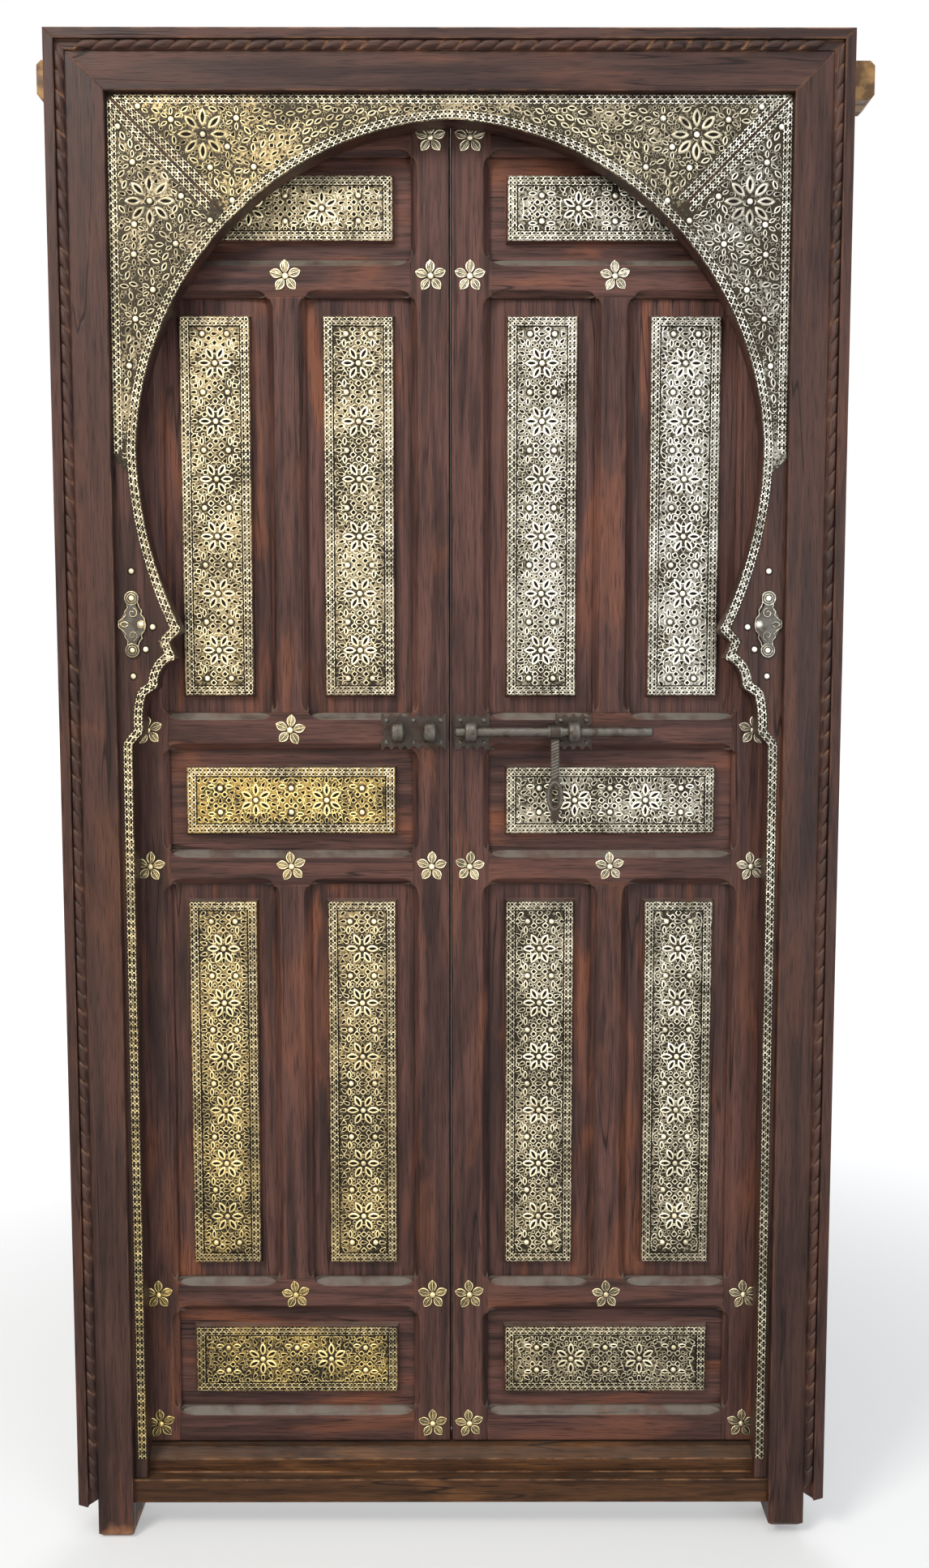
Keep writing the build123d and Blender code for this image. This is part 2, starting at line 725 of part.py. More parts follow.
def make_hinge_plates(name, hands, away, knuckle_shares):
    """Surface plates with knuckles; away is the way from the pin to the plate, hands the sides to make."""
    with BuildPart() as plates:
        for side in hands:
            for height in hinge_heights:
                reach = hinge_radius + barrel_gap
                with Locations((side * (hinge_x + away * (reach + hinge_plate_width / 2)),
                                back_y + hinge_plate_thickness / 2, height)):
                    Box(hinge_plate_width, hinge_plate_thickness, hinge_height)
                for share in knuckle_shares:
                    knuckle_z = height + share * knuckle_height
                    leaf_x = side * (hinge_x + away * reach / 2)
                    with Locations((leaf_x, back_y + hinge_plate_thickness / 2, knuckle_z)):
                        Box(reach, hinge_plate_thickness, knuckle_height - knuckle_gap)
                    with Locations((side * hinge_x, hinge_y, knuckle_z)):
                        Cylinder(hinge_radius, knuckle_height - knuckle_gap)
                        Cylinder(pin_radius + pin_clearance, knuckle_height - knuckle_gap, mode=Mode.SUBTRACT)
    save(plates, name)


frame_knuckle_shares = (-1, 1)
leaf_knuckle_shares = (0,)
make_hinge_plates("hinge_frame_plates", (-1, 1), 1, frame_knuckle_shares)

with BuildPart() as hinge_pins:
    for side in (-1, 1):
        for height in hinge_heights:
            with Locations((side * hinge_x, hinge_y, height)):
                Cylinder(pin_radius, hinge_height)
            with Locations((side * hinge_x, hinge_y, height + hinge_height / 2 + pin_head_height / 2)):
                Cylinder(hinge_radius, pin_head_height)
save(hinge_pins, "hinge_pins")

for side_name, side in sides:
    meeting_span = (leaf_inner, meeting_stile_edge)
    hinge_span = (hinge_stile_edge, leaf_outer)
    make_stile(f"{side_name}_meeting_stile", side, meeting_span, meeting_stile_edge, 1, meeting_bevel)
    make_stile(f"{side_name}_hinge_stile", side, hinge_span, hinge_stile_edge, -1, 0)
    for rail_name in rail_names:
        make_rail(f"{side_name}_{rail_name}", side, rail_name)
    for level_name in tall_names:
        make_muntin(f"{side_name}_{level_name}_muntin", side, level_name)
    tall_holes = [(span, levels[name]) for name in tall_names for span in tall_spans]
    wide_holes = [(wide_span, levels[name]) for name in wide_names]
    make_panels(f"{side_name}_tall_panels", side, tall_holes)
    make_panels(f"{side_name}_wide_panels", side, wide_holes)
    make_plates(f"{side_name}_tall_plates", side, tall_holes, tall_rosettes, tall_rosette_pitch, 0)
    make_plates(f"{side_name}_wide_plates", side, wide_holes, wide_rosettes, wide_rosette_pitch, 90)
    make_flowers(f"{side_name}_flowers", side, common_flowers + extra_flowers[side_name])
    make_hinge_plates(f"{side_name}_hinge_plates", (side,), -1, leaf_knuckle_shares)
    with BuildPart() as plate_nails:
        nail_places = []
        for hole in tall_holes:
            nail_places += rosette_places(*hole, tall_rosettes, tall_rosette_pitch)
            nail_places += pair_places(*hole, tall_rosettes, tall_rosette_pitch)
        for hole in wide_holes:
            nail_places += rosette_places(*hole, wide_rosettes, wide_rosette_pitch)
            nail_places += pair_places(*hole, wide_rosettes, wide_rosette_pitch)
        domed_nails([(side * x, z) for x, z in nail_places], field_front_y - sheet_thickness)
    save(plate_nails, f"{side_name}_plate_nails")

# Domed nails of the frame, beside the scroll ornaments, as shares of the ornament's width and disc spacing
loose_nail_shares = ((0, 1.02), (0.72, -0.05), (0.46, -0.48), (0, -1.0))
scroll_middle_x = jamb_inner - scroll_side_gap - scroll_width / 2
loose_nails = []
spandrel_nails = []
for _, side in sides:
    for across_share, up_share in loose_nail_shares:
        nail_x = scroll_middle_x - across_share * scroll_width
        loose_nails.append((side * nail_x, scroll_centre_height + up_share * scroll_disc_spacing))
    for shares in spandrel_nail_shares:
        nail_x, nail_z = spandrel_place(shares)
        spandrel_nails.append((side * nail_x, nail_z))
with BuildPart() as frame_nails:
    domed_nails(loose_nails, arch_front_y)
    domed_nails(spandrel_nails, arch_front_y - sheet_thickness)
save(frame_nails, "frame_nails")

# Bolt: scalloped plates, eyes that the bar runs through, the bar itself and its hasp
bolt_z = rail_middle["lock_rail"]
bolt_y = leaf_front_y - bolt_standoff
plate_front_y = leaf_front_y - bolt_plate_thickness
left_plate_x = -(leaf_inner + bolt_edge_gap + left_plate_length / 2)
inner_plate_x = leaf_inner + bolt_edge_gap + inner_plate_length / 2
first_eye_x = leaf_inner + first_eye_offset
outer_eye_x = first_eye_x + right_eye_spacing
catch_eye_xs = (-first_eye_x, -first_eye_x - catch_eye_spacing)
right_eye_xs = (first_eye_x, outer_eye_x)
bar_start = leaf_inner + bolt_end_gap
hasp_x = bar_start + hasp_offset


def scalloped_plate(x, length, ends):
    """A forged backplate with bites along its top and bottom, and in those of its ends that are given."""
    bites = int(length / bolt_plate_bite_pitch)
    with BuildSketch(front_plane(leaf_front_y)) as outline:
        with Locations((x, bolt_z)):
            Rectangle(length, bolt_plate_height)
            with GridLocations(bolt_plate_bite_pitch, bolt_plate_height, bites, 2):
                Circle(bolt_plate_bite, mode=Mode.SUBTRACT)
        for end in ends:
            with Locations((x + end * length / 2, bolt_z)):
                with GridLocations(0, bolt_plate_bite_pitch, 1, 2):
                    Circle(bolt_plate_bite, mode=Mode.SUBTRACT)
    extrude(outline.sketch, amount=bolt_plate_thickness)


def make_eyes(name, places, clearance):
    """Bulbous eyes on square necks, bored for the bar."""
    with BuildPart() as eyes:
        for x in places:
            with Locations(Location((x, bolt_y, bolt_z), (0, 90, 0))):
                Cylinder(eye_radius, eye_width)
        fillet(eyes.edges().filter_by(GeomType.CIRCLE), radius=eye_round)
        for x in places:
            with Locations((x, (bolt_y + plate_front_y) / 2, bolt_z)):
                Box(eye_neck, plate_front_y - bolt_y, eye_neck)
        for x in places:
            with Locations(Location((x, bolt_y, bolt_z), (0, 90, 0))):
                Cylinder(bolt_radius + clearance, eye_width, mode=Mode.SUBTRACT)
    save(eyes, name)


with BuildPart() as left_bolt_plate:
    scalloped_plate(left_plate_x, left_plate_length, (-1,))
save(left_bolt_plate, "left_bolt_plate")

with BuildPart() as right_bolt_plates:
    scalloped_plate(inner_plate_x, inner_plate_length, ())
    scalloped_plate(outer_eye_x, outer_plate_length, (1,))
save(right_bolt_plates, "right_bolt_plates")

make_eyes("left_bolt_eyes", catch_eye_xs, catch_clearance)
make_eyes("right_bolt_eyes", right_eye_xs, slide_clearance)

with BuildPart() as bolt_bar:
    with Locations(Location((bar_start + bolt_length / 2, bolt_y, bolt_z), (0, 90, 0))):
        Cylinder(bolt_radius, bolt_length)
    chamfer(bolt_bar.edges().filter_by(GeomType.CIRCLE), length=bolt_point)
save(bolt_bar, "bolt_bar")

with BuildPart() as bolt_collars:
    collar_offset = hasp_eye_width / 2 + slide_clearance + collar_width / 2
    for x in (hasp_x - collar_offset, hasp_x + collar_offset):
        with Locations(Location((x, bolt_y, bolt_z), (0, 90, 0))):
            Cylinder(collar_radius, collar_width)
            Cylinder(bolt_radius, collar_width, mode=Mode.SUBTRACT)
save(bolt_collars, "bolt_collars")

with BuildPart() as hasp:
    with Locations(Location((hasp_x, bolt_y, bolt_z), (0, 90, 0))):
        Cylinder(hasp_eye_radius, hasp_eye_width)
    shank_bottom = bolt_z - hasp_length
    plate_middle = shank_bottom + hasp_tail_length + hasp_plate_height / 2
    with BuildSketch(front_plane(bolt_y - hasp_thickness / 2)):
        with Locations((hasp_x, middle((bolt_z, shank_bottom)))):
            Rectangle(hasp_shank_width, hasp_length)
        with Locations((hasp_x, plate_middle)):
            Ellipse(hasp_plate_width / 2, hasp_plate_height / 2)
            SlotOverall(hasp_slot_height, hasp_slot_width, rotation=90, mode=Mode.SUBTRACT)
    extrude(amount=-hasp_thickness)
    with Locations(Location((hasp_x, bolt_y, bolt_z), (0, 90, 0))):
        Cylinder(bolt_radius + slide_clearance, hasp_eye_width, mode=Mode.SUBTRACT)
save(hasp, "hasp")
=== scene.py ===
# %% [markdown]
# # An arched double door with embossed brass
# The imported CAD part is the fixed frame: timber, panels, sheets, hinges and bolt.
# This lesson adds what a CAD model leaves out: the chased relief of the brass, smooth
# nail heads, petals, a carved rope and materials that look stained, rubbed and old.

# %% Load the frame
import json
import math
import random

import bpy
import numpy as np
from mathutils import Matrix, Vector

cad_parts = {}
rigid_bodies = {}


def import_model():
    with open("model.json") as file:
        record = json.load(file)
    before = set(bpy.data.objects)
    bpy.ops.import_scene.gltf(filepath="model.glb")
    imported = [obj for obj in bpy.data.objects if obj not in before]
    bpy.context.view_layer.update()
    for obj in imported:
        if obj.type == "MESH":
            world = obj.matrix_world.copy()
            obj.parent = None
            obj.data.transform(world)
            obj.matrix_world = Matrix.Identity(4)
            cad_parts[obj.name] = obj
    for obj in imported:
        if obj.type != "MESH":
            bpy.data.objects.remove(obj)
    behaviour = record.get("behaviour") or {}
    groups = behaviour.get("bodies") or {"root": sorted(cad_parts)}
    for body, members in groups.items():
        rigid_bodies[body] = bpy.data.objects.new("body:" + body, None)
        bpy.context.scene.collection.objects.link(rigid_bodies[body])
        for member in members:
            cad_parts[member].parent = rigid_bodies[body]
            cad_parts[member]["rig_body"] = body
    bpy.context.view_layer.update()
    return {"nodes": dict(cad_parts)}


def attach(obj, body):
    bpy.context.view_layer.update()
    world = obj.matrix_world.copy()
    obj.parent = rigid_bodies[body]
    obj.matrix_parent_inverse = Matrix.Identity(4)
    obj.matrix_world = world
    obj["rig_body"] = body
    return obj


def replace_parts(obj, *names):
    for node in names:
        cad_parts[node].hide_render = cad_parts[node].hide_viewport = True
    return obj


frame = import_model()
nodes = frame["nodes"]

MM = 0.001

# %% [markdown]
# ## Small tools
# `wire` adds one node to a tree and fills its sockets with values or links; the tools after
# it are short forms for the nodes used most. `make_object` turns lists of corners and faces
# into a mesh object with named attributes. `grid_faces` joins rows of corners by quads and
# `ring_faces` does so for closed rings.

# %% Small tools
def wire(tree, kind, sockets=None, **settings):
    node = tree.nodes.new(kind)
    for name, value in settings.items():
        setattr(node, name, value)
    for key, value in (sockets or {}).items():
        if isinstance(value, bpy.types.NodeSocket):
            tree.links.new(value, node.inputs[key])
        else:
            node.inputs[key].default_value = value
    return node


def calc(tree, operation, a, b=0.0, clamp=False):
    return wire(tree, "ShaderNodeMath", {0: a, 1: b}, operation=operation, use_clamp=clamp).outputs[0]


def weigh(tree, first, share, second, other_share):
    return calc(tree, "ADD", calc(tree, "MULTIPLY", first, share), calc(tree, "MULTIPLY", second, other_share))


def axis_of(tree, vector, axis):
    return wire(tree, "ShaderNodeSeparateXYZ", {0: vector}).outputs[axis]


def stretch(tree, vector, share):
    """Draw a vector out along Z, so that a texture on it runs with the grain."""
    sockets = {0: vector, 1: (1.0, 1.0, share)}
    return wire(tree, "ShaderNodeVectorMath", sockets, operation="MULTIPLY").outputs[0]


def blend_colour(tree, factor, first, second, mode="MIX"):
    sockets = {0: factor, 6: first, 7: second}
    return wire(tree, "ShaderNodeMix", sockets, data_type="RGBA", blend_type=mode).outputs[2]


def ramp(tree, value, low, high, out_low=0.0, out_high=1.0):
    sockets = {0: value, 1: low, 2: high, 3: out_low, 4: out_high}
    return wire(tree, "ShaderNodeMapRange", sockets, interpolation_type="SMOOTHSTEP").outputs[0]


def noise(tree, vector, scale, detail=3.0, distortion=0.0):
    sockets = {"Vector": vector, "Scale": scale, "Detail": detail, "Distortion": distortion}
    return wire(tree, "ShaderNodeTexNoise", sockets).outputs["Fac"]


def make_group(name, inputs, outputs, kind="ShaderNodeTree"):
    tree = bpy.data.node_groups.new(name, kind)
    for label, type_name, value in inputs:
        socket = tree.interface.new_socket(label, in_out="INPUT", socket_type=type_name)
        if value is not None:
            socket.default_value = value
    for label, type_name in outputs:
        tree.interface.new_socket(label, in_out="OUTPUT", socket_type=type_name)
    return tree, tree.nodes.new("NodeGroupInput").outputs, tree.nodes.new("NodeGroupOutput").inputs


def connect(tree, inputs, values):
    for label, value in values.items():
        tree.links.new(value, inputs[label])


def new_material(name):
    material = bpy.data.materials.new(name)
    material.use_nodes = True
    tree = material.node_tree
    return material, tree, tree.nodes["Principled BSDF"]


def dress(tree, shader, colour, roughness, normal, **plain):
    connect(tree, shader.inputs, {"Base Color": colour, "Roughness": roughness, "Normal": normal})
    for label, value in plain.items():
        shader.inputs[label.replace("_", " ")].default_value = value


def grid_faces(rows, width, start=0, turned=False):
    faces = []
    for i in range(rows - 1):
        for j in range(width - 1):
            a = start + i * width + j
            b = a + width
            faces.append((a, a + 1, b + 1, b) if turned else (a, b, b + 1, a + 1))
    return faces


def ring_faces(rings, count):
    faces = []
    for ring in range(rings - 1):
        for i in range(count):
            a, b = ring * count + i, ring * count + (i + 1) % count
            faces.append((a, a + count, b + count, b))
    return faces


def make_object(name, corners, faces, attributes=None, edges=()):
    mesh = bpy.data.meshes.new(name)
    mesh.from_pydata([tuple(c) for c in corners], list(edges), faces)
    for label, (kind, values) in (attributes or {}).items():
        data = mesh.attributes.new(label, kind, "POINT").data
        key = "vector" if kind == "FLOAT_VECTOR" else "value"
        data.foreach_set(key, np.array(values).ravel())
    if faces:
        mesh.shade_smooth()
    return bpy.data.objects.new(name, mesh)


def relief_object(name, rows, faces):
    """rows hold x, y and z in millimetres and the relief there."""
    corners = [(x * MM, y * MM, z * MM) for x, y, z, _ in rows]
    return make_object(name, corners, faces, {"relief": ("FLOAT", [row[3] for row in rows])})


def put_in_scene(piece, material):
    piece.data.materials.append(material)
    scene_objects.link(piece)
    return piece


scene = bpy.context.scene
scene_objects = scene.collection.objects
SQUARE = ((-1, -1), (1, -1), (1, 1), (-1, 1))
FLOAT, VECTOR, COLOUR = "NodeSocketFloat", "NodeSocketVector", "NodeSocketColor"

# %% [markdown]
# ## Wood
# The timber is stained a reddish brown, streaked and cracked along the grain, and rubbed pale
# where hands and brooms met it. One shared group draws it from noise stretched along the
# grain: streaks, a broad figure, worn patches and fine cracks. A second group finds edges by
# comparing the true normal with a rounded one. Grain runs along Z in the group; a turned
# vector lays it along X for rails, head and sill. Faces that look up take a pale grey that is
# partly dust and partly a painted highlight of the sky.

# %% Wood groups
CRACK_BLACK = (0.006, 0.003, 0.0025, 1)
figure, gi, go = make_group(
    "wood_figure",
    [("Vector", VECTOR, None), ("Dark", COLOUR, None), ("Mid", COLOUR, None), ("Worn", COLOUR, None),
     ("Wear", FLOAT, 0.5)],
    [("Color", COLOUR), ("Height", FLOAT), ("Roughness", FLOAT)])
stretched = stretch(figure, gi["Vector"], 0.045)
half_stretched = stretch(figure, gi["Vector"], 0.22)
fine = noise(figure, stretched, 520.0, 4.0)
streak = noise(figure, stretched, 75.0, 5.0, 0.6)
broad = noise(figure, half_stretched, 9.0, 4.0, 1.4)
patch = noise(figure, half_stretched, 17.0, 6.0, 0.8)
tone = weigh(figure, streak, 0.62, broad, 0.38)
colour = blend_colour(figure, ramp(figure, tone, 0.36, 0.64), gi["Dark"], gi["Mid"])
worn_mask = calc(figure, "MULTIPLY", ramp(figure, patch, 0.52, 0.74), gi["Wear"], True)
colour = blend_colour(figure, worn_mask, colour, gi["Worn"])
pores = ramp(figure, fine, 0.30, 0.52, 0.45, 1.0)
pore_tint = wire(figure, "ShaderNodeCombineColor", {0: pores, 1: pores, 2: pores}).outputs[0]
colour = blend_colour(figure, 1.0, colour, pore_tint, "MULTIPLY")
long_grain = stretch(figure, gi["Vector"], 0.05)
from_line = calc(figure, "ABSOLUTE", calc(figure, "SUBTRACT", noise(figure, long_grain, 26.0, 2.0), 0.5))
where = ramp(figure, noise(figure, half_stretched, 13.0, 2.0), 0.5, 0.6)
crack = calc(figure, "MULTIPLY", ramp(figure, from_line, 0.0, 0.012, 0.85, 0.0), where)
colour = blend_colour(figure, crack, colour, CRACK_BLACK)
height = weigh(figure, fine, 0.6, streak, 0.5)
height = calc(figure, "SUBTRACT", height, calc(figure, "MULTIPLY", crack, 1.5))
polish = ramp(figure, streak, 0.3, 0.7, 0.36, 0.56)
connect(figure, go, {"Color": colour, "Height": height, "Roughness": polish})

edges, gi, go = make_group(
    "edge_wear", [("Vector", VECTOR, None), ("Radius", FLOAT, 0.004)], [("Mask", FLOAT), ("Normal", VECTOR)])
rounded = wire(edges, "ShaderNodeBevel", {"Radius": gi["Radius"]}, samples=4).outputs[0]
true_normal = wire(edges, "ShaderNodeNewGeometry").outputs["True Normal"]
alike = wire(edges, "ShaderNodeVectorMath", {0: rounded, 1: true_normal}, operation="DOT_PRODUCT")
sharp = ramp(edges, alike.outputs["Value"], 0.985, 0.86)
rubbed = ramp(edges, noise(edges, gi["Vector"], 26.0, 5.0), 0.38, 0.66)
connect(edges, go, {"Mask": calc(edges, "MULTIPLY", sharp, rubbed), "Normal": rounded})


# DUST_AND_SKY_SHEEN is the pale grey of faces that look up: partly dust, partly a painted highlight of the sky
# on tops and chamfers.
DUST_AND_SKY_SHEEN, FOOT_RAW, HORN_RAW = (0.135, 0.12, 0.098, 1), (0.26, 0.12, 0.06, 1), (0.34, 0.19, 0.075, 1)
HORN_INNER, HORN_OUTER = 0.594, 0.606


def wood(name, along_x, dark, mid, worn, wear, bare, edge_amount, dust_and_sheen, foot=False, horns=False):
    material, tree, shader = new_material(name)
    place = wire(tree, "ShaderNodeTexCoord").outputs["Object"]
    vector = place
    if along_x:
        quarter_turn = {"Vector": place, "Rotation": (0, math.radians(90), 0)}
        vector = wire(tree, "ShaderNodeMapping", quarter_turn).outputs[0]
    colours = {"Dark": (*dark, 1), "Mid": (*mid, 1), "Worn": (*worn, 1)}
    look = wire(tree, "ShaderNodeGroup", {"Vector": vector, "Wear": wear, **colours}, node_tree=figure)
    rub = wire(tree, "ShaderNodeGroup", {"Vector": place}, node_tree=edges)
    mask = calc(tree, "MULTIPLY", rub.outputs["Mask"], edge_amount, True)
    colour = blend_colour(tree, mask, look.outputs["Color"], (*bare, 1))
    # Faces that look up are blended towards the pale grey: dust, and a painted highlight of the sky.
    upward = axis_of(tree, wire(tree, "ShaderNodeNewGeometry").outputs["True Normal"], "Z")
    dust_and_sheen_patches = ramp(tree, noise(tree, place, 30.0, 4.0), 0.3, 0.62, 0.3 * dust_and_sheen, dust_and_sheen)
    dust_and_sheen_on_top = calc(tree, "MULTIPLY", ramp(tree, upward, 0.3, 0.65), dust_and_sheen_patches)
    colour = blend_colour(tree, dust_and_sheen_on_top, colour, DUST_AND_SKY_SHEEN)
    if foot:
        uneven = calc(tree, "MULTIPLY", noise(tree, place, 22.0, 5.0), 0.06)
        ragged = calc(tree, "ADD", axis_of(tree, place, "Z"), uneven)
        colour = blend_colour(tree, ramp(tree, ragged, -0.005, -0.022), colour, FOOT_RAW)
    if horns:
        reach = calc(tree, "ABSOLUTE", axis_of(tree, place, "X"))
        patchy = ramp(tree, noise(tree, place, 45.0, 5.0), 0.36, 0.6, 0.25, 1.0)
        scraped = calc(tree, "MULTIPLY", ramp(tree, reach, HORN_INNER, HORN_OUTER), patchy)
        colour = blend_colour(tree, scraped, colour, HORN_RAW)
    bump = wire(tree, "ShaderNodeBump", {
        "Strength": 0.35, "Distance": 0.0012, "Height": look.outputs["Height"],
        "Normal": rub.outputs["Normal"]}).outputs[0]
    dress(tree, shader, colour, look.outputs["Roughness"], bump, Specular_IOR_Level=0.16)
    return material


DARK, MID, WORN = (0.032, 0.0160, 0.0138), (0.100, 0.046, 0.037), (0.185, 0.068, 0.036)
BARE, PANEL_WORN = (0.23, 0.105, 0.058), (0.2, 0.068, 0.033)
HEAD_BARE, SILL_BARE = (0.4, 0.19, 0.09), (0.42, 0.2, 0.09)
CASE_DARK, CASE_MID, CASE_WORN = (0.028, 0.0145, 0.012), (0.068, 0.033, 0.026), (0.13, 0.052, 0.03)
SILL_DARK, SILL_MID, SILL_WORN = (0.03, 0.0125, 0.006), (0.078, 0.034, 0.014), (0.19, 0.08, 0.028)
frame_upright = wood("frame_upright", False, CASE_DARK, CASE_MID, CASE_WORN, 0.45, BARE, 0.75, 0.3, foot=True)
frame_level = wood("frame_level", True, CASE_DARK, CASE_MID, CASE_WORN, 0.5, HEAD_BARE, 0.8, 0.3, horns=True)
sill_wood = wood("sill_wood", True, SILL_DARK, SILL_MID, SILL_WORN, 0.75, SILL_BARE, 0.9, 0.12)
leaf_upright = wood("leaf_upright", False, DARK, MID, WORN, 0.55, BARE, 0.55, 0.8)
leaf_level = wood("leaf_level", True, DARK, MID, WORN, 0.55, BARE, 0.55, 0.8)
panel_tall = wood("panel_tall", False, DARK, MID, PANEL_WORN, 0.65, BARE, 0.5, 0.4)
panel_wide = wood("panel_wide", True, DARK, MID, PANEL_WORN, 0.65, BARE, 0.5, 0.4)
WOODS = (frame_upright, frame_level, sill_wood, leaf_upright, leaf_level, panel_tall, panel_wide)
print("wood materials:", [m.name for m in WOODS])

# %% [markdown]
# ## Brass and iron
# The brass group reads a `relief` number on each corner: 1 on a crest that hands and
# cloths keep bright, 0 on the ground, -1 in a pierced hole, painted black as the shade in it; feet of ridges
# and grooves below 0 are painted dark as shade too.
# Tone moves the metal from yellow to silvery. It also drifts with the place on the door:
# yellower at the foot and on the left, more silvery at the top right, a painted warm light from the lower left
# and a painted cool light from the upper right.
# Broad noise lets some patches be rubbed bright and others stay dull.

# %% Brass and iron
YELLOW, SILVERY = (0.86, 0.58, 0.17, 1), (0.74, 0.72, 0.63, 1)
BRIGHT_YELLOW, BRIGHT_SILVERY = (1.0, 0.81, 0.34, 1), (0.99, 0.97, 0.88, 1)
TARNISH, GRIME, HOLLOW_SHADE_BLACK = (0.55, 0.44, 0.24, 1), (0.026, 0.020, 0.012, 1), (0.010, 0.007, 0.005, 1)
patina, gi, go = make_group(
    "patina", [("Vector", VECTOR, None), ("Relief", FLOAT, 0.0), ("Tone", FLOAT, 0.3), ("Grime", FLOAT, 0.5),
               ("Polish", FLOAT, 0.9)],
    [("Color", COLOUR), ("Height", FLOAT), ("Roughness", FLOAT)])
place = wire(patina, "ShaderNodeSeparateXYZ", {0: gi["Vector"]}).outputs
# Painted warm light from the lower left and painted cool light from the upper right: the tone runs yellower
# towards the left and the foot.
painted_light_tint_across = ramp(patina, place["X"], -0.5, 0.5, -0.22, 0.22)
painted_light_tint = calc(patina, "ADD", painted_light_tint_across, ramp(patina, place["Z"], 0.1, 1.6, -0.28, 0.1))
tone = calc(patina, "ADD", gi["Tone"], painted_light_tint, True)
mottle = noise(patina, gi["Vector"], 240.0, 5.0, 0.4)
pits = noise(patina, gi["Vector"], 900.0, 3.0)
cloud = noise(patina, gi["Vector"], 16.0, 4.0)
metal = blend_colour(patina, tone, YELLOW, SILVERY)
metal = blend_colour(patina, ramp(patina, cloud, 0.38, 0.72, 0.0, 0.7), metal, TARNISH)
spots = weigh(patina, mottle, 0.6, cloud, 0.4)
grime_and_low_darkening = calc(patina, "MULTIPLY", ramp(patina, spots, 0.38, 0.62, 0.6, 1.25), gi["Grime"], True)
# Lower on the door the crests are less bright and the ground is darker.
rubbed = calc(patina, "MULTIPLY", gi["Polish"], ramp(patina, place["Z"], 0.1, 1.3, 0.8, 1.04))
patches = noise(patina, gi["Vector"], 21.0, 3.0, 0.5)
rubbed = calc(patina, "MULTIPLY", rubbed, ramp(patina, patches, 0.38, 0.62, 0.58, 1.25))
grime_and_low_darkening = calc(patina, "ADD", grime_and_low_darkening, ramp(patina, place["Z"], 0.7, 1.4, 0.12, 0.0), True)
crest = calc(patina, "MULTIPLY", ramp(patina, gi["Relief"], 0.1, 0.8), rubbed)
dull = calc(patina, "MULTIPLY", grime_and_low_darkening, calc(patina, "SUBTRACT", 1.0, crest))
metal = blend_colour(patina, dull, metal, GRIME)
bright = blend_colour(patina, tone, BRIGHT_YELLOW, BRIGHT_SILVERY)
metal = blend_colour(patina, crest, metal, bright)
# Relief below 0 is painted near black: the shade in pierced holes, in grooves and at the feet of ridges.
painted_hollow_shade = ramp(patina, gi["Relief"], -0.2, -0.8)
metal = blend_colour(patina, painted_hollow_shade, metal, HOLLOW_SHADE_BLACK)
height = calc(patina, "ADD", mottle, weigh(patina, cloud, 3.0, pits, 0.4))
rough = calc(patina, "ADD", ramp(patina, mottle, 0.3, 0.7, 0.28, 0.48), calc(patina, "MULTIPLY", painted_hollow_shade, 0.35))
connect(patina, go, {"Color": metal, "Height": height, "Roughness": rough})


def brass(name, tone, grime, polish, strength=0.5, top_tone=None):
    material, tree, shader = new_material(name)
    spot = wire(tree, "ShaderNodeTexCoord").outputs["Object"]
    relief = wire(tree, "ShaderNodeAttribute", attribute_name="relief").outputs["Fac"]
    # top_tone turns the upper sheets more silvery, painted as the shade they lie in.
    if top_tone is not None:
        tone = ramp(tree, axis_of(tree, spot, "Z"), 1.3, 1.9, tone, top_tone)
    amounts = {"Tone": tone, "Grime": grime, "Polish": polish}
    look = wire(tree, "ShaderNodeGroup", {"Vector": spot, "Relief": relief, **amounts}, node_tree=patina)
    sockets = {"Strength": strength, "Distance": 0.0012, "Height": look.outputs["Height"]}
    bump = wire(tree, "ShaderNodeBump", sockets).outputs[0]
    dress(tree, shader, look.outputs["Color"], look.outputs["Roughness"], bump, Metallic=0.8)
    return material


def iron(name, dark, rust):
    material, tree, shader = new_material(name)
    place = wire(tree, "ShaderNodeTexCoord").outputs["Object"]
    rust_mask = ramp(tree, noise(tree, place, 70.0, 6.0), 0.45, 0.72)
    colour = blend_colour(tree, rust_mask, (*dark, 1), (*rust, 1))
    hammered = wire(tree, "ShaderNodeTexVoronoi", {"Vector": place, "Scale": 190.0}).outputs["Distance"]
    height = calc(tree, "ADD", calc(tree, "MULTIPLY", hammered, 0.7), noise(tree, place, 600.0, 3.0))
    bump = wire(tree, "ShaderNodeBump", {"Strength": 0.3, "Distance": 0.001, "Height": height}).outputs[0]
    roughness = ramp(tree, noise(tree, place, 120.0, 4.0), 0.3, 0.7, 0.35, 0.6)
    dress(tree, shader, colour, roughness, bump, Metallic=0.75)
    return material


brass_top = brass("brass_top", 0.35, 1.14, 0.42)
brass_side = brass("brass_side", 0.6, 1.2, 0.38)
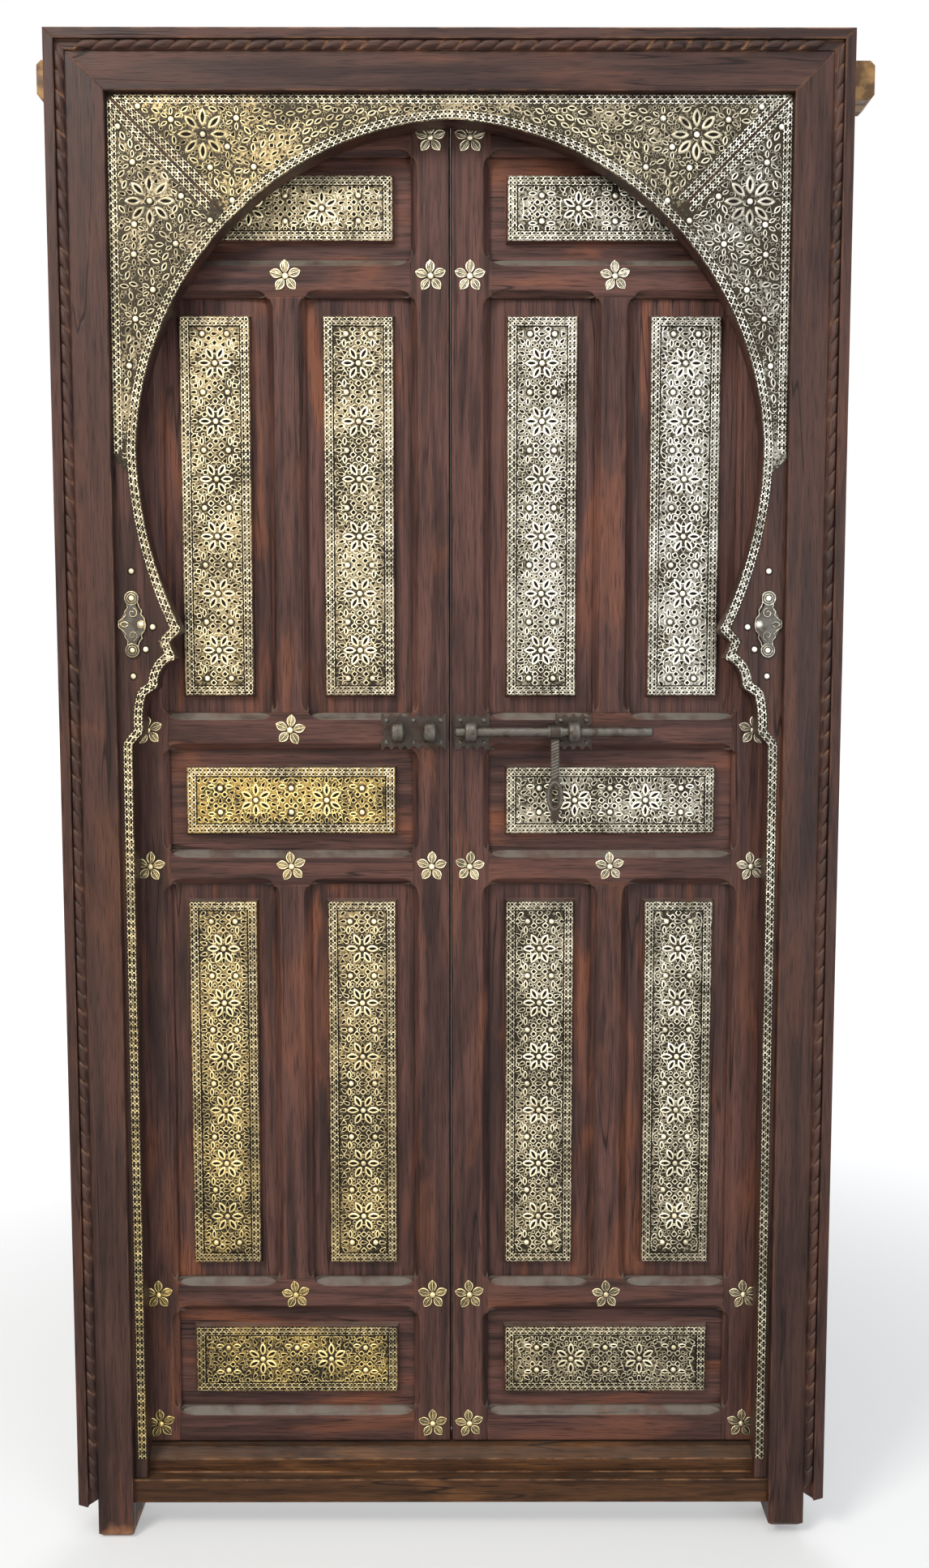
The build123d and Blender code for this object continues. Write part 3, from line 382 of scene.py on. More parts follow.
# brass_right is a little more silvery than brass_left: a painted cool light on the right.
brass_left = brass("brass_left", 0.5, 0.9, 1.0)
brass_gold = brass("brass_gold", 0.1, 0.85, 1.0, top_tone=0.5)
brass_right = brass("brass_right", 0.65, 0.92, 1.0)
brass_edge = brass("brass_edge", 0.65, 1.05, 0.68)
brass_stud = brass("brass_stud", 0.5, 0.9, 0.8, 0.35)
brass_dull = brass("brass_dull", 0.6, 1.0, 0.4)
brass_nail = brass("brass_nail", 0.6, 0.8, 0.68, 0.15)
forged = iron("forged", (0.10, 0.09, 0.077), (0.05, 0.035, 0.025))
forged_plate = iron("forged_plate", (0.05, 0.04, 0.032), (0.04, 0.024, 0.017))
hinge_metal = iron("hinge_metal", (0.09, 0.08, 0.07), (0.06, 0.035, 0.022))
METALS = ("brass", "forged", "hinge")
print("metals:", [m.name for m in bpy.data.materials if m.name.startswith(METALS)])

# %% [markdown]
# ## Paint the CAD nodes
# Each CAD node keeps its shape and takes a material that suits its grain and its slot.

# %% Paint the CAD nodes
def material_of(name):
    if name.endswith(("spandrel_sheet", "edge_strip")):
        return brass_top if name.startswith("top") else brass_side
    if name == "left_wide_plates":
        return brass_gold
    if name.endswith(("tall_plates", "wide_plates")):
        return brass_left if name.startswith("left") else brass_right
    if name.endswith("nails"):
        return brass_nail
    if name.endswith("flowers"):
        return brass_stud
    if name.startswith("hinge") or name.endswith("hinge_plates"):
        return hinge_metal
    if name.endswith(("bolt_plate", "bolt_plates", "hasp")):
        return forged_plate
    if "bolt" in name or "scroll" in name:
        return forged
    if name.endswith("panels"):
        return panel_tall if "tall" in name else panel_wide
    if name.endswith(("stile", "muntin")):
        return leaf_upright
    if name.endswith("rail"):
        return leaf_level
    if name == "sill":
        return sill_wood
    if name in ("head", "top_moulding", "top_arch_board"):
        return frame_level
    return frame_upright


for name, node in nodes.items():
    node.data.materials.clear()
    node.data.materials.append(material_of(name))
print("painted", len(nodes), "CAD nodes")

# %% [markdown]
# ## Motifs for the chased brass
# The sheets are pierced and beaten from behind. Most motifs are small rings: the foot lies on
# the sheet, the crest stands about a millimetre proud and the floor is a hole painted black as its shade; a
# foot below 0 is painted dark as shade round the rim. Crescents fill the gaps. Each is a low mesh in the XZ
# plane that faces -Y, because it is copied often.

# %% Motifs
def ring_motif(name, outline, half_x, half_z, crest, rim_x, rim_z, shine=1.0, foot=-0.6):
    """outline holds unit points of the hole; rings lie at shares of the rim outside it, in millimetres."""
    # Each ring holds its share of the rim, its depth and its relief; the floor takes -1, painted black as the
    # shade in the hole, and a foot below 0 is painted dark as shade.
    rings = ((1.0, 0.0, foot), (0.72, -0.8 * crest, 0.75 * shine), (0.3, -crest, shine),
             (0.0, -0.6 * crest, 0.2), (-0.12, -0.15, -1.0))
    rows, count = [], len(outline)
    for share, y, value in rings:
        wide, tall = half_x + share * rim_x, half_z + share * rim_z
        rows += [(wide * px, y, tall * pz, value) for px, pz in outline]
    faces = ring_faces(len(rings), count)
    faces.append(tuple(range((len(rings) - 1) * count, len(rings) * count))[::-1])
    return relief_object(name, rows, faces)


def lens_outline(steps=6, power=0.85):
    upper = [(1 - 2 * i / steps) for i in range(steps)]
    side = [(x, (1 - x * x) ** power) for x in upper]
    return side + [(-x, -z) for x, z in side]


def round_outline(steps, power=1.0):
    points = []
    for i in range(steps):
        c, s = math.cos(2 * math.pi * i / steps), math.sin(2 * math.pi * i / steps)
        points.append((math.copysign(abs(c) ** power, c), math.copysign(abs(s) ** power, s)))
    return points


def drop_outline(steps=10):
    points = []
    for i in range(steps):
        a = 2 * math.pi * i / steps
        points.append((math.cos(a), math.sin(a) * (0.62 - 0.38 * math.cos(a)) * 1.05))
    return points


def scroll_motif(name):
    """A C-shaped ridge with a dark eye, for the borders; the eye and the inner foot are painted dark as shade.
    """
    rows = []
    steps, radius, half, eye, sides = 9, 2.5, 0.85, 1.5, 6
    for i in range(steps):
        a = math.radians(-130 + 260 * i / (steps - 1))
        for offset, y, value in ((-half, 0.0, -0.5), (0.0, -0.9, 1.0), (half, 0.0, -0.1)):
            r = radius + offset
            rows.append((r * math.cos(a), y, r * math.sin(a), value))
    faces = grid_faces(steps, 3) + [tuple(range(len(rows), len(rows) + sides))]
    for i in range(sides):
        a = -2 * math.pi * i / sides
        rows.append((eye * math.cos(a), -0.12, eye * math.sin(a), -1.0))
    return relief_object(name, rows, faces)


def crescent_motif(name):
    """A leaf-like ridge, bent and pointed, that fills gaps between the pierced motifs; its feet are painted
    dark as shade.
    """
    rows = []
    steps, radius, shift = 7, 4.6, 3.4
    for i in range(steps):
        s = i / (steps - 1)
        a = math.radians(-75 + 150 * s)
        half = 0.25 + 1.15 * math.sin(math.pi * s)
        for offset, y, value in ((-half, 0.0, -0.6), (-0.2 * half, -0.9, 1.0), (half, -0.1, -0.6)):
            r = radius + offset
            rows.append((r * math.cos(a) - shift, y, r * math.sin(a), value))
    return relief_object(name, rows, grid_faces(steps, 3))


def shadow_line_motif(name):
    """A short dark strip; a row of them paints the shadow line inside a border."""
    half_x, half_z = 3.2, 0.9
    rows = [(x * half_x, -0.1, z * half_z, -1.0) for x, z in SQUARE]
    return relief_object(name, rows, [(0, 1, 2, 3)])


def dome_rows(radius, height, ring, sides=14):
    """Rows and faces of a domed nail head in a ring painted dark as its shadow."""
    # The outer ring takes -0.9, painted dark as the nail's shadow on the sheet.
    profile = [(ring, 0.1, -0.9), (radius * 1.02, 0.12, -0.9), (radius, 0.25, 0.2),
               (radius * 0.9, height * 0.5, 0.8), (radius * 0.66, height * 0.8, 1.0),
               (radius * 0.34, height * 0.95, 1.0)]
    rows = []
    for r, y, value in profile:
        for i in range(sides):
            a = 2 * math.pi * i / sides
            rows.append((r * math.cos(a), -y, r * math.sin(a), value))
    top = (len(profile) - 1) * sides
    faces = ring_faces(len(profile), sides)
    faces += [(top + i, len(rows), top + (i + 1) % sides) for i in range(sides)]
    rows.append((0, -height, 0, 1.0))
    return rows, faces


def dome_motif(name, *sizes):
    return relief_object(name, *dome_rows(*sizes))


def collect(name, motifs):
    collection = bpy.data.collections.new(name)
    for motif in motifs:
        collection.objects.link(motif)
    return collection


ALMOND, DIAMOND, DROP, OVAL, TRIANGLE, PETAL, CRESCENT = range(7)
TRIANGLE_POINTS = [(1, 0), (0.1, 0.55), (-0.8, 1), (-0.95, 0), (-0.8, -1), (0.1, -0.55)]
relief_motifs = collect("relief_motifs", [
    ring_motif("motif_0_almond", lens_outline(), 7.0, 2.3, 1.1, 3.2, 3.2, foot=0.35),
    ring_motif("motif_1_diamond", round_outline(8, 1.7), 3.3, 3.3, 1.0, 2.3, 2.3, 0.62),
    ring_motif("motif_2_drop", drop_outline(), 4.6, 3.1, 1.0, 2.2, 2.2, 0.55),
    ring_motif("motif_3_oval", round_outline(8), 2.1, 1.9, 0.9, 1.6, 1.6, 0.5),
    ring_motif("motif_4_triangle", TRIANGLE_POINTS, 3.9, 3.3, 1.0, 2.0, 2.0, 0.55),
    ring_motif("motif_5_petal", lens_outline(8), 8.0, 2.5, 1.1, 6.2, 4.2, 0.55, 0.3),
    crescent_motif("motif_6_crescent"),
])
border_motifs = collect("border_motifs", [scroll_motif("motif_scroll")])
groove_motifs = collect("groove_motifs", [shadow_line_motif("motif_groove")])
nail_motifs = collect("nail_motifs", [dome_motif("motif_nail", 4.6, 3.4, 6.2)])

# %% [markdown]
# ## Two Geometry Nodes trees
# `motifs_on_points` copies a motif to every point; each point says which motif, how far
# it is turned and how large it is. `motifs_along_path` walks a line in equal steps and
# lays motifs along it, turning every other one over.

# %% Geometry Nodes trees
def end_tree(tree, go, instances, material):
    real = wire(tree, "GeometryNodeRealizeInstances", {"Geometry": instances}).outputs[0]
    painted = wire(tree, "GeometryNodeSetMaterial", {"Geometry": real, "Material": material}).outputs[0]
    tree.links.new(painted, go[0])


def read_attribute(tree, name, kind):
    node = wire(tree, "GeometryNodeInputNamedAttribute", {"Name": name}, data_type=kind)
    return node.outputs["Attribute"]


def choose_from(tree, motifs):
    sockets = {"Collection": motifs, "Separate Children": True, "Reset Children": True}
    return wire(tree, "GeometryNodeCollectionInfo", sockets).outputs[0]


SHAPE, TREE = "NodeSocketGeometry", "GeometryNodeTree"
SUPPLY = [("Geometry", SHAPE, None), ("Motifs", "NodeSocketCollection", None),
          ("Material", "NodeSocketMaterial", None)]
RESULT = [("Geometry", SHAPE)]
on_points, gi, go = make_group("motifs_on_points", SUPPLY, RESULT, TREE)
choices = choose_from(on_points, gi["Motifs"])
turn = wire(on_points, "ShaderNodeCombineXYZ", {"Y": read_attribute(on_points, "turn", "FLOAT")}).outputs[0]
copies = wire(on_points, "GeometryNodeInstanceOnPoints", {
    "Points": gi["Geometry"], "Instance": choices, "Pick Instance": True,
    "Instance Index": read_attribute(on_points, "motif", "INT"), "Rotation": turn,
    "Scale": read_attribute(on_points, "size", "FLOAT_VECTOR")}).outputs[0]
end_tree(on_points, go, copies, gi["Material"])

WALK = [("Spacing", FLOAT, 0.007), ("Flip", FLOAT, math.pi), ("Size Low", FLOAT, 0.9),
        ("Size High", FLOAT, 1.1), ("Seed", "NodeSocketInt", 5)]
along_path, gi, go = make_group("motifs_along_path", SUPPLY + WALK, RESULT, TREE)
line = wire(along_path, "GeometryNodeMeshToCurve", {"Mesh": gi["Geometry"]}).outputs[0]
steps = {"Curve": line, "Length": gi["Spacing"]}
walk = wire(along_path, "GeometryNodeResampleCurve", steps, mode="LENGTH").outputs[0]
tangent = wire(along_path, "GeometryNodeInputTangent").outputs[0]
parts = wire(along_path, "ShaderNodeSeparateXYZ", {0: tangent}).outputs
angle = calc(along_path, "ARCTAN2", calc(along_path, "MULTIPLY", parts["Z"], -1.0), parts["X"])
odd = calc(along_path, "MODULO", wire(along_path, "GeometryNodeInputIndex").outputs[0], 2.0)
angle = calc(along_path, "ADD", angle, calc(along_path, "MULTIPLY", odd, gi["Flip"]))
turn = wire(along_path, "ShaderNodeCombineXYZ", {"Y": angle}).outputs[0]
limits = {"Min": gi["Size Low"], "Max": gi["Size High"], "Seed": gi["Seed"]}
chance = wire(along_path, "FunctionNodeRandomValue", limits, data_type="FLOAT")
size = [output for output in chance.outputs if output.enabled][0]
spread = wire(along_path, "ShaderNodeCombineXYZ", {"X": size, "Y": 1.0, "Z": size}).outputs[0]
copies = wire(along_path, "GeometryNodeInstanceOnPoints", {
    "Points": walk, "Instance": choose_from(along_path, gi["Motifs"]), "Pick Instance": True,
    "Rotation": turn}).outputs[0]
scaled = wire(along_path, "GeometryNodeScaleInstances", {"Instances": copies, "Scale": spread}).outputs[0]
end_tree(along_path, go, scaled, gi["Material"])


def grow(source, tree, body, slot_name, replaced=(), **values):
    """Run a tree on a source object, keep its result as a plain mesh and let it ride on a body."""
    scene_objects.link(source)
    modifier = source.modifiers.new("grow", "NODES")
    modifier.node_group = tree
    for item in tree.interface.items_tree:
        if item.in_out == "INPUT" and item.name in values:
            modifier[item.identifier] = values[item.name]
    graph = bpy.context.evaluated_depsgraph_get()
    result = source.evaluated_get(graph)
    mesh = bpy.data.meshes.new_from_object(result, preserve_all_data_layers=True, depsgraph=graph)
    piece = bpy.data.objects.new(source.name.replace("_source", ""), mesh)
    scene_objects.link(piece)
    bpy.data.objects.remove(source)
    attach(piece, body)
    if replaced:
        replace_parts(piece, *replaced)
    print(piece.name, "triangles:", sum(len(p.vertices) - 2 for p in mesh.polygons))
    return piece


def point_source(name, rows):
    """rows hold x, y, z in millimetres, motif, turn in radians, and sizes along and across."""
    corners = [(x * MM, y * MM, z * MM) for x, y, z, *_ in rows]
    return make_object(name + "_source", corners, [], {
        "motif": ("INT", [r[3] for r in rows]), "turn": ("FLOAT", [r[4] for r in rows]),
        "size": ("FLOAT_VECTOR", [(r[5], 1.0, r[6]) for r in rows])})


def plain_row(x, y, z):
    return x, y, z, 0, 0.0, 1.0, 1.0


def path_source(name, paths):
    """paths are lists of x, y, z in millimetres, each an open line."""
    corners, links = [], []
    for path in paths:
        start = len(corners)
        corners += [(x * MM, y * MM, z * MM) for x, y, z in path]
        links += [(start + i, start + i + 1) for i in range(len(path) - 1)]
    return make_object(name + "_source", corners, [], edges=links)


print("trees:", on_points.name, len(on_points.nodes), along_path.name, len(along_path.nodes))

# %% [markdown]
# ## Where the CAD solids are
# Nails, studs and plates are many solids in one node. Corners that share a place belong
# to one solid, so walking over the triangles finds each solid's box.

# %% Solids of a node
STEPS_PER_METRE = 20000


def solid_boxes(name):
    mesh = nodes[name].data
    keys, index = {}, []
    for vertex in mesh.vertices:
        key = tuple(round(c * STEPS_PER_METRE) for c in vertex.co)
        index.append(keys.setdefault(key, len(keys)))
    parent = list(range(len(keys)))

    def root(i):
        while parent[i] != i:
            parent[i] = parent[parent[i]]
            i = parent[i]
        return i

    for polygon in mesh.polygons:
        first = root(index[polygon.vertices[0]])
        for v in polygon.vertices[1:]:
            parent[root(index[v])] = first
    boxes = {}
    for vertex, i in zip(mesh.vertices, index):
        co = np.array(vertex.co) / MM
        low, high = boxes.get(root(i), (co, co))
        boxes[root(i)] = (np.minimum(low, co), np.maximum(high, co))
    return list(boxes.values())


def middle(low, high):
    return (low[0] + high[0]) / 2, (low[2] + high[2]) / 2


HANDS, KINDS, SIDES = ("left", "right"), ("tall", "wide"), (("left", -1), ("right", 1))
nail_boxes = {name: solid_boxes(name) for name in ("left_plate_nails", "right_plate_nails", "frame_nails")}
flower_boxes = {name: solid_boxes(name) for name in ("left_flowers", "right_flowers")}
plate_boxes = {f"{h}_{k}_plates": solid_boxes(f"{h}_{k}_plates") for h in HANDS for k in KINDS}
for group in (nail_boxes, flower_boxes, plate_boxes):
    print({name: len(boxes) for name, boxes in group.items()})

# %% [markdown]
# ## Relief of the panel plates
# A plate repeats one cell along its length: a rosette of six almonds round the middle
# nail, and a lattice of diamonds between the pair of nails. One quarter of the cell is
# filled by throwing darts: a drop, triangle, diamond or oval stays where it has room.
# Mirrors make the other quarters, so that each plate has an ornament of its own.

# %% Relief of the panel plates
BORDER, TALL_PITCH, WIDE_PITCH, PAIR, ROSETTE, NAIL_ROOM = 15.0, 88.0, 112.0, 19.0, 16.5, 6.0
TALL_ROSETTES, WIDE_ROSETTES, SHEET_THICK, ALMOND_REACH, ALMOND_ROOM = 6, 2, 1.2, 6.0, 4.4
SCROLL_INSETS, SHADOW_LINE_INSET, SCROLL_STEP, SHADOW_LINE_STEP = (4.2, 10.6), 14.6, 0.0058, 0.0062
# The pair's almond: shift, distance from the cell's end and size; then the lattice's diamonds
PAIR_ALMOND, LATTICE, LATTICE_SIZE, LATTICE_ROOM = (3.0, 14.0, 0.7), ((0.0, 13.6), (9.0, 6.8)), 1.05, 4.8
# Motif, the room that it needs and how many darts are thrown
FILL = ((DROP, 5.6, 300), (TRIANGLE, 5.0, 300), (DIAMOND, 4.6, 300), (OVAL, 3.1, 400), (CRESCENT, 2.0, 400))
dice = random.Random(11)


def almond_discs(u, v, angle, size):
    """Three discs that stand for an almond when room is looked for."""
    du, dv = ALMOND_REACH * size * math.cos(angle), ALMOND_REACH * size * math.sin(angle)
    return [(u + s * du, v + s * dv, ALMOND_ROOM * size) for s in (-1, 0, 1)]


def has_room(u, v, radius, taken):
    return all((u - tu) ** 2 + (v - tv) ** 2 > (radius + tr) ** 2 for tu, tv, tr in taken)


def quarter_cell(half_u, end):
    """Rows of u, v, motif, angle and size; one nail is at 0, 0 and those of a pair are at PAIR, end."""
    rows, taken = [], [(0, 0, NAIL_ROOM), (PAIR, end, NAIL_ROOM)]
    almonds = [(ROSETTE * math.cos(a), ROSETTE * math.sin(a), a, 1.0) for a in (0.0, math.pi / 3)]
    shift, back, size = PAIR_ALMOND
    almonds.append((PAIR + shift, end - back, math.pi / 2, size))
    for u, v, angle, size in almonds:
        rows.append((u, v, ALMOND, angle, size))
        taken += almond_discs(u, v, angle, size)
    for u, back in LATTICE:
        rows.append((u, end - back, DIAMOND, 0.0, LATTICE_SIZE))
        taken.append((u, end - back, LATTICE_ROOM))
    for motif, radius, tries in FILL:
        for _ in range(tries):
            u, v = dice.uniform(0, half_u - 0.7 * radius), dice.uniform(0, end)
            u = 0.0 if u < radius else u
            v = 0.0 if v < radius else end if v > end - radius else v
            if has_room(u, v, radius, taken):
                taken.append((u, v, radius))
                rows.append((u, v, motif, 0.0 if v == end else math.atan2(v, u), 1.0))
    return rows


def plate_rows(half_u, half_v, count, pitch):
    """The cell, mirrored and repeated; v runs along the plate's longer side."""
    cell, rows = quarter_cell(half_u, pitch / 2), []
    for i in range(-1, count + 1):
        centre = (i - (count - 1) / 2) * pitch
        for u, v, motif, angle, size in cell:
            for up in (1, -1):
                for hand in (1, -1):
                    on_axis = (hand < 0 and u == 0) or (up < 0 and v in (0, pitch / 2))
                    if not on_axis:
                        turned = math.atan2(up * math.sin(angle), hand * math.cos(angle))
                        rows.append((hand * u, centre + up * v, motif, turned, size, size))
    return [r for r in rows if abs(r[0]) < half_u - 1 and abs(r[1]) < half_v - 3]


def plate_loops(low, high, inset):
    """The four sides of a rectangle that lies inset from a plate's edge, each as a line."""
    x0, x1, z0, z1 = low[0] + inset, high[0] - inset, low[2] + inset, high[2] - inset
    loop = [(x, low[1], z) for x, z in ((x0, z0), (x1, z0), (x1, z1), (x0, z1), (x0, z0))]
    return [loop[i:i + 2] for i in range(4)]


for hand in HANDS:
    body, border_paths, shadow_line_paths = f"{hand}_leaf", [], []
    for kind in KINDS:
        relief_rows = []
        for low, high in plate_boxes[f"{hand}_{kind}_plates"]:
            mid_x, mid_z = middle(low, high)
            half_x, half_z = (high[0] - low[0]) / 2 - BORDER, (high[2] - low[2]) / 2 - BORDER
            ground = high[1] - SHEET_THICK
            if kind == "tall":
                rows = plate_rows(half_x, half_z, TALL_ROSETTES, TALL_PITCH)
                relief_rows += [(mid_x + u, ground, mid_z + v, m, -a, s, t) for u, v, m, a, s, t in rows]
            else:
                rows = plate_rows(half_z, half_x, WIDE_ROSETTES, WIDE_PITCH)
                for u, v, m, a, s, t in rows:
                    relief_rows.append((mid_x + v, ground, mid_z + u, m, a - math.pi / 2, s, t))
            for inset in SCROLL_INSETS:
                border_paths += plate_loops(low, high, inset)
            shadow_line_paths += plate_loops(low, high, SHADOW_LINE_INSET)
        grow(point_source(f"{hand}_{kind}_relief", relief_rows), on_points, body, "brass_sheet",
             Motifs=relief_motifs, Material=material_of(f"{hand}_{kind}_plates"))
    grow(path_source(f"{hand}_plate_borders", border_paths), along_path, body, "brass_sheet",
         Motifs=border_motifs, Material=brass_edge, Spacing=SCROLL_STEP)
    # Rows of dark strips just inside each plate's border paint its shadow line.
    grow(path_source(f"{hand}_plate_grooves", shadow_line_paths), along_path, body, "brass_sheet",
         Motifs=groove_motifs, Material=brass_edge, Spacing=SHADOW_LINE_STEP, Flip=0.0)

# %% [markdown]
# ## Nails
# Smooth domes, each in a ring painted dark as its shadow, stand for the CAD's faceted nails, one to each
# solid.

# %% Nails
for name, boxes in nail_boxes.items():
    rows = []
    for low, high in boxes:
        x, z = middle(low, high)
        rows.append(plain_row(x, high[1], z))
    body = nodes[name]["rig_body"]
    grow(point_source(name.replace("nails", "nail_heads"), rows), on_points, body, "nail_brass", (name,),
         Motifs=nail_motifs, Material=brass_nail)

# %% [markdown]
# ## Flower studs
# A petal is a pointed leaf with a raised rim, a groove inside it and a vein; the groove and the petal's foot
# are painted dark as shade. Five of them and a nail make a stud, and the tree copies the stud to each CAD
# flower.

# %% Flower studs
def petal_rows(inner, outer, half_width):
    """Rows of one petal that points along +X, how many there are along it and across it."""
    # Each entry holds the share across, the height and the relief; the foot, the groove inside the rim and the
    # hollow beside the vein are below 0 and painted dark as shade.
    half = ((1.0, 0.0, -0.6), (0.88, 1.9, 1.0), (0.74, 1.7, 0.9),
            (0.60, 1.1, -0.9), (0.44, 1.5, 0.5), (0.16, 1.3, -0.4))
    columns = [(-across, height, value) for across, height, value in half]
    columns += [(0.0, 2.2, 1.0)] + list(half[::-1])
    rows, steps = [], 9
    for i in range(steps):
        s = i / (steps - 1)
        width = half_width * max(0.03, math.sin(math.pi * s ** 1.1) ** 0.8)
        lift = 0.35 + 0.65 * math.sin(math.pi * min(1.0, s * 0.92 + 0.06)) ** 0.4
        for across, height, value in columns:
            tip = 1.0 if i == steps - 1 else value
            rows.append((inner + (outer - inner) * s, -(height * lift + 0.25), across * width, tip))
    return rows, steps, len(columns)


PETAL_COUNT, PETAL_INNER, PETAL_OUTER, PETAL_HALF, DOME, DOME_LIFT = 5, 4.0, 24.5, 7.6, (5.0, 3.6, 6.4), 1.4


def flower_motif(name):
    rows, faces = [], []
    petal, steps, width = petal_rows(PETAL_INNER, PETAL_OUTER, PETAL_HALF)
    for k in range(PETAL_COUNT):
        a = math.radians(90 + 360 / PETAL_COUNT * k)
        c, n = math.cos(a), math.sin(a)
        faces += grid_faces(steps, width, len(rows), turned=True)
        rows += [(x * c - z * n, y, x * n + z * c, value) for x, y, z, value in petal]
    dome, dome_faces = dome_rows(*DOME)
    faces += [tuple(len(rows) + v for v in face) for face in dome_faces]
    rows += [(x, y - DOME_LIFT, z, value) for x, y, z, value in dome]
    return relief_object(name, rows, faces)


flower_motifs = collect("flower_motifs", [flower_motif("motif_flower")])
dice = random.Random(23)
for name, boxes in flower_boxes.items():
    rows = []
    for low, high in boxes:
        size = dice.uniform(0.95, 1.0)
        x, z = middle(low, high)[0], low[2] + 0.52 * (high[2] - low[2])
        rows.append((x, high[1], z, 0, dice.uniform(-0.14, 0.14), size, size))
    body = nodes[name]["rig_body"]
    grow(point_source(name.replace("flowers", "flower_studs"), rows), on_points, body, "flower_brass",
         (name,), Motifs=flower_motifs, Material=brass_stud)

# %% [markdown]
# ## The horseshoe's outline
# The opening is two arcs, a stepped cusp and a straight edge. The same points drive the
# borders along it, so they are worked out once, from the crown down to the sill, on the
# right side. `aside` moves a line outwards by a distance.

# %% The horseshoe's outline
def arc_through(a, b, c, steps):
    (ax, az), (bx, bz), (cx, cz) = a, b, c
    d = 2 * (ax * (bz - cz) + bx * (cz - az) + cx * (az - bz))
    sa, sb, sc = ax * ax + az * az, bx * bx + bz * bz, cx * cx + cz * cz
    ox = (sa * (bz - cz) + sb * (cz - az) + sc * (az - bz)) / d
    oz = (sa * (cx - bx) + sb * (ax - cx) + sc * (bx - ax)) / d
    radius = math.hypot(ax - ox, az - oz)
    first, last = math.atan2(az - oz, ax - ox), math.atan2(cz - oz, cx - ox)
    angles = [first + (last - first) * i / steps for i in range(steps + 1)]
    return [(ox + radius * math.cos(a), oz + radius * math.sin(a)) for a in angles], (ox, oz, radius)


CROWN, SHOULDER, SPRING = (0.0, 2150.0), (324.1, 2009.0), (474.5, 1668.0)
WAIST, TIP, STRAIGHT, STEP_Z, SILL_Z = (457.4, 1529.8), (411.0, 1397.0), 489.0, 1222.0, 74.0


def cusp(share_x, share_z):
    return (TIP[0] + share_x * (STRAIGHT - TIP[0]), TIP[1] - share_z * (TIP[1] - STEP_Z))


upper_arc, arch_circle = arc_through(CROWN, SHOULDER, SPRING, 90)
lower_arc, _ = arc_through(SPRING, WAIST, TIP, 40)
first_step, _ = arc_through(cusp(0.115, 0.243), cusp(0.40, 0.345), cusp(0.475, 0.497), 8)
second_step, _ = arc_through(cusp(0.72, 0.569), cusp(0.77, 0.70), cusp(0.78, 0.897), 8)
arch_line = upper_arc + lower_arc[1:] + [cusp(0.24, 0.106)] + first_step + second_step
arch_line += [(STRAIGHT, STEP_Z), (STRAIGHT, SILL_Z)]


def aside(line, distance):
    moved = []
    for i, (x, z) in enumerate(line):
        (px, pz), (nx, nz) = line[max(0, i - 1)], line[min(len(line) - 1, i + 1)]
        tx, tz = nx - px, nz - pz
        length = math.hypot(tx, tz) or 1.0
        moved.append((x - tz / length * distance, z + tx / length * distance))
    return moved


print("arch radius", round(arch_circle[2], 1), "mm, outline points", len(arch_line))

# %% [markdown]
# ## Brass of the spandrels
# Large rosettes sit where the CAD sheets are pierced for them. The rest of each sheet is
# filled by dart-throwing: a motif is kept only where it clears the seams, the arch's
# border, the nails and the motifs already there.

# %% Brass of the spandrels
SHEET_Y, SIDE_X, SIDE_TOP, TOP_X, TOP_Z = -39.2, 508.5, 2184.0, 507.0, 2185.5
TAIL_Z, TAIL_END, TAIL_GAP, SEAM_REACH, BORDER_ROOM, DIAGONAL = 1655.0, 1640.0, 5.0, 148.0, 15.5, math.sqrt(2)
TOP_ROSETTE, SIDE_ROSETTE, PETALS, PETAL_REACH, DARTS = (366.2, 2127.8), (446.8, 2031.9), 8, 24.5, 4000
NAIL_SPACE, PETAL_SIZE, RING_ROOM = 5.5, 1.35, 16.0
# Motif, the room that it needs and its size, for darts; then with reach and count, for rings round the nails
DART_MOTIFS = ((ALMOND, 6.4, 0.75), (DROP, 5.7, 1.0), (TRIANGLE, 5.1, 1.0), (DIAMOND, 4.6, 1.0),
               (OVAL, 3.1, 1.0), (OVAL, 2.5, 0.8), (CRESCENT, 1.7, 0.85))
RING_MOTIFS = ((ALMOND, 4.8, 12.0, 6, 0.6), (DROP, 4.4, 11.0, 5, 0.8))
dice = random.Random(31)
nail_spots = [middle(low, high) for low, high in nail_boxes["frame_nails"]]


def arch_gap(x, z):
    return math.hypot(abs(x) - arch_circle[0], z - arch_circle[1]) - arch_circle[2]


def room_on_top(x, z):
    return min(TOP_Z - z, ((TOP_X - abs(x)) - (TOP_Z - z)) / DIAGONAL, arch_gap(x, z))


def room_on_side(x, z):
    inside = SIDE_X - abs(x)
    seam = ((SIDE_TOP - z) - inside) / DIAGONAL
    return min(inside, seam, arch_gap(x, z), z - TAIL_Z + inside, z - TAIL_END)


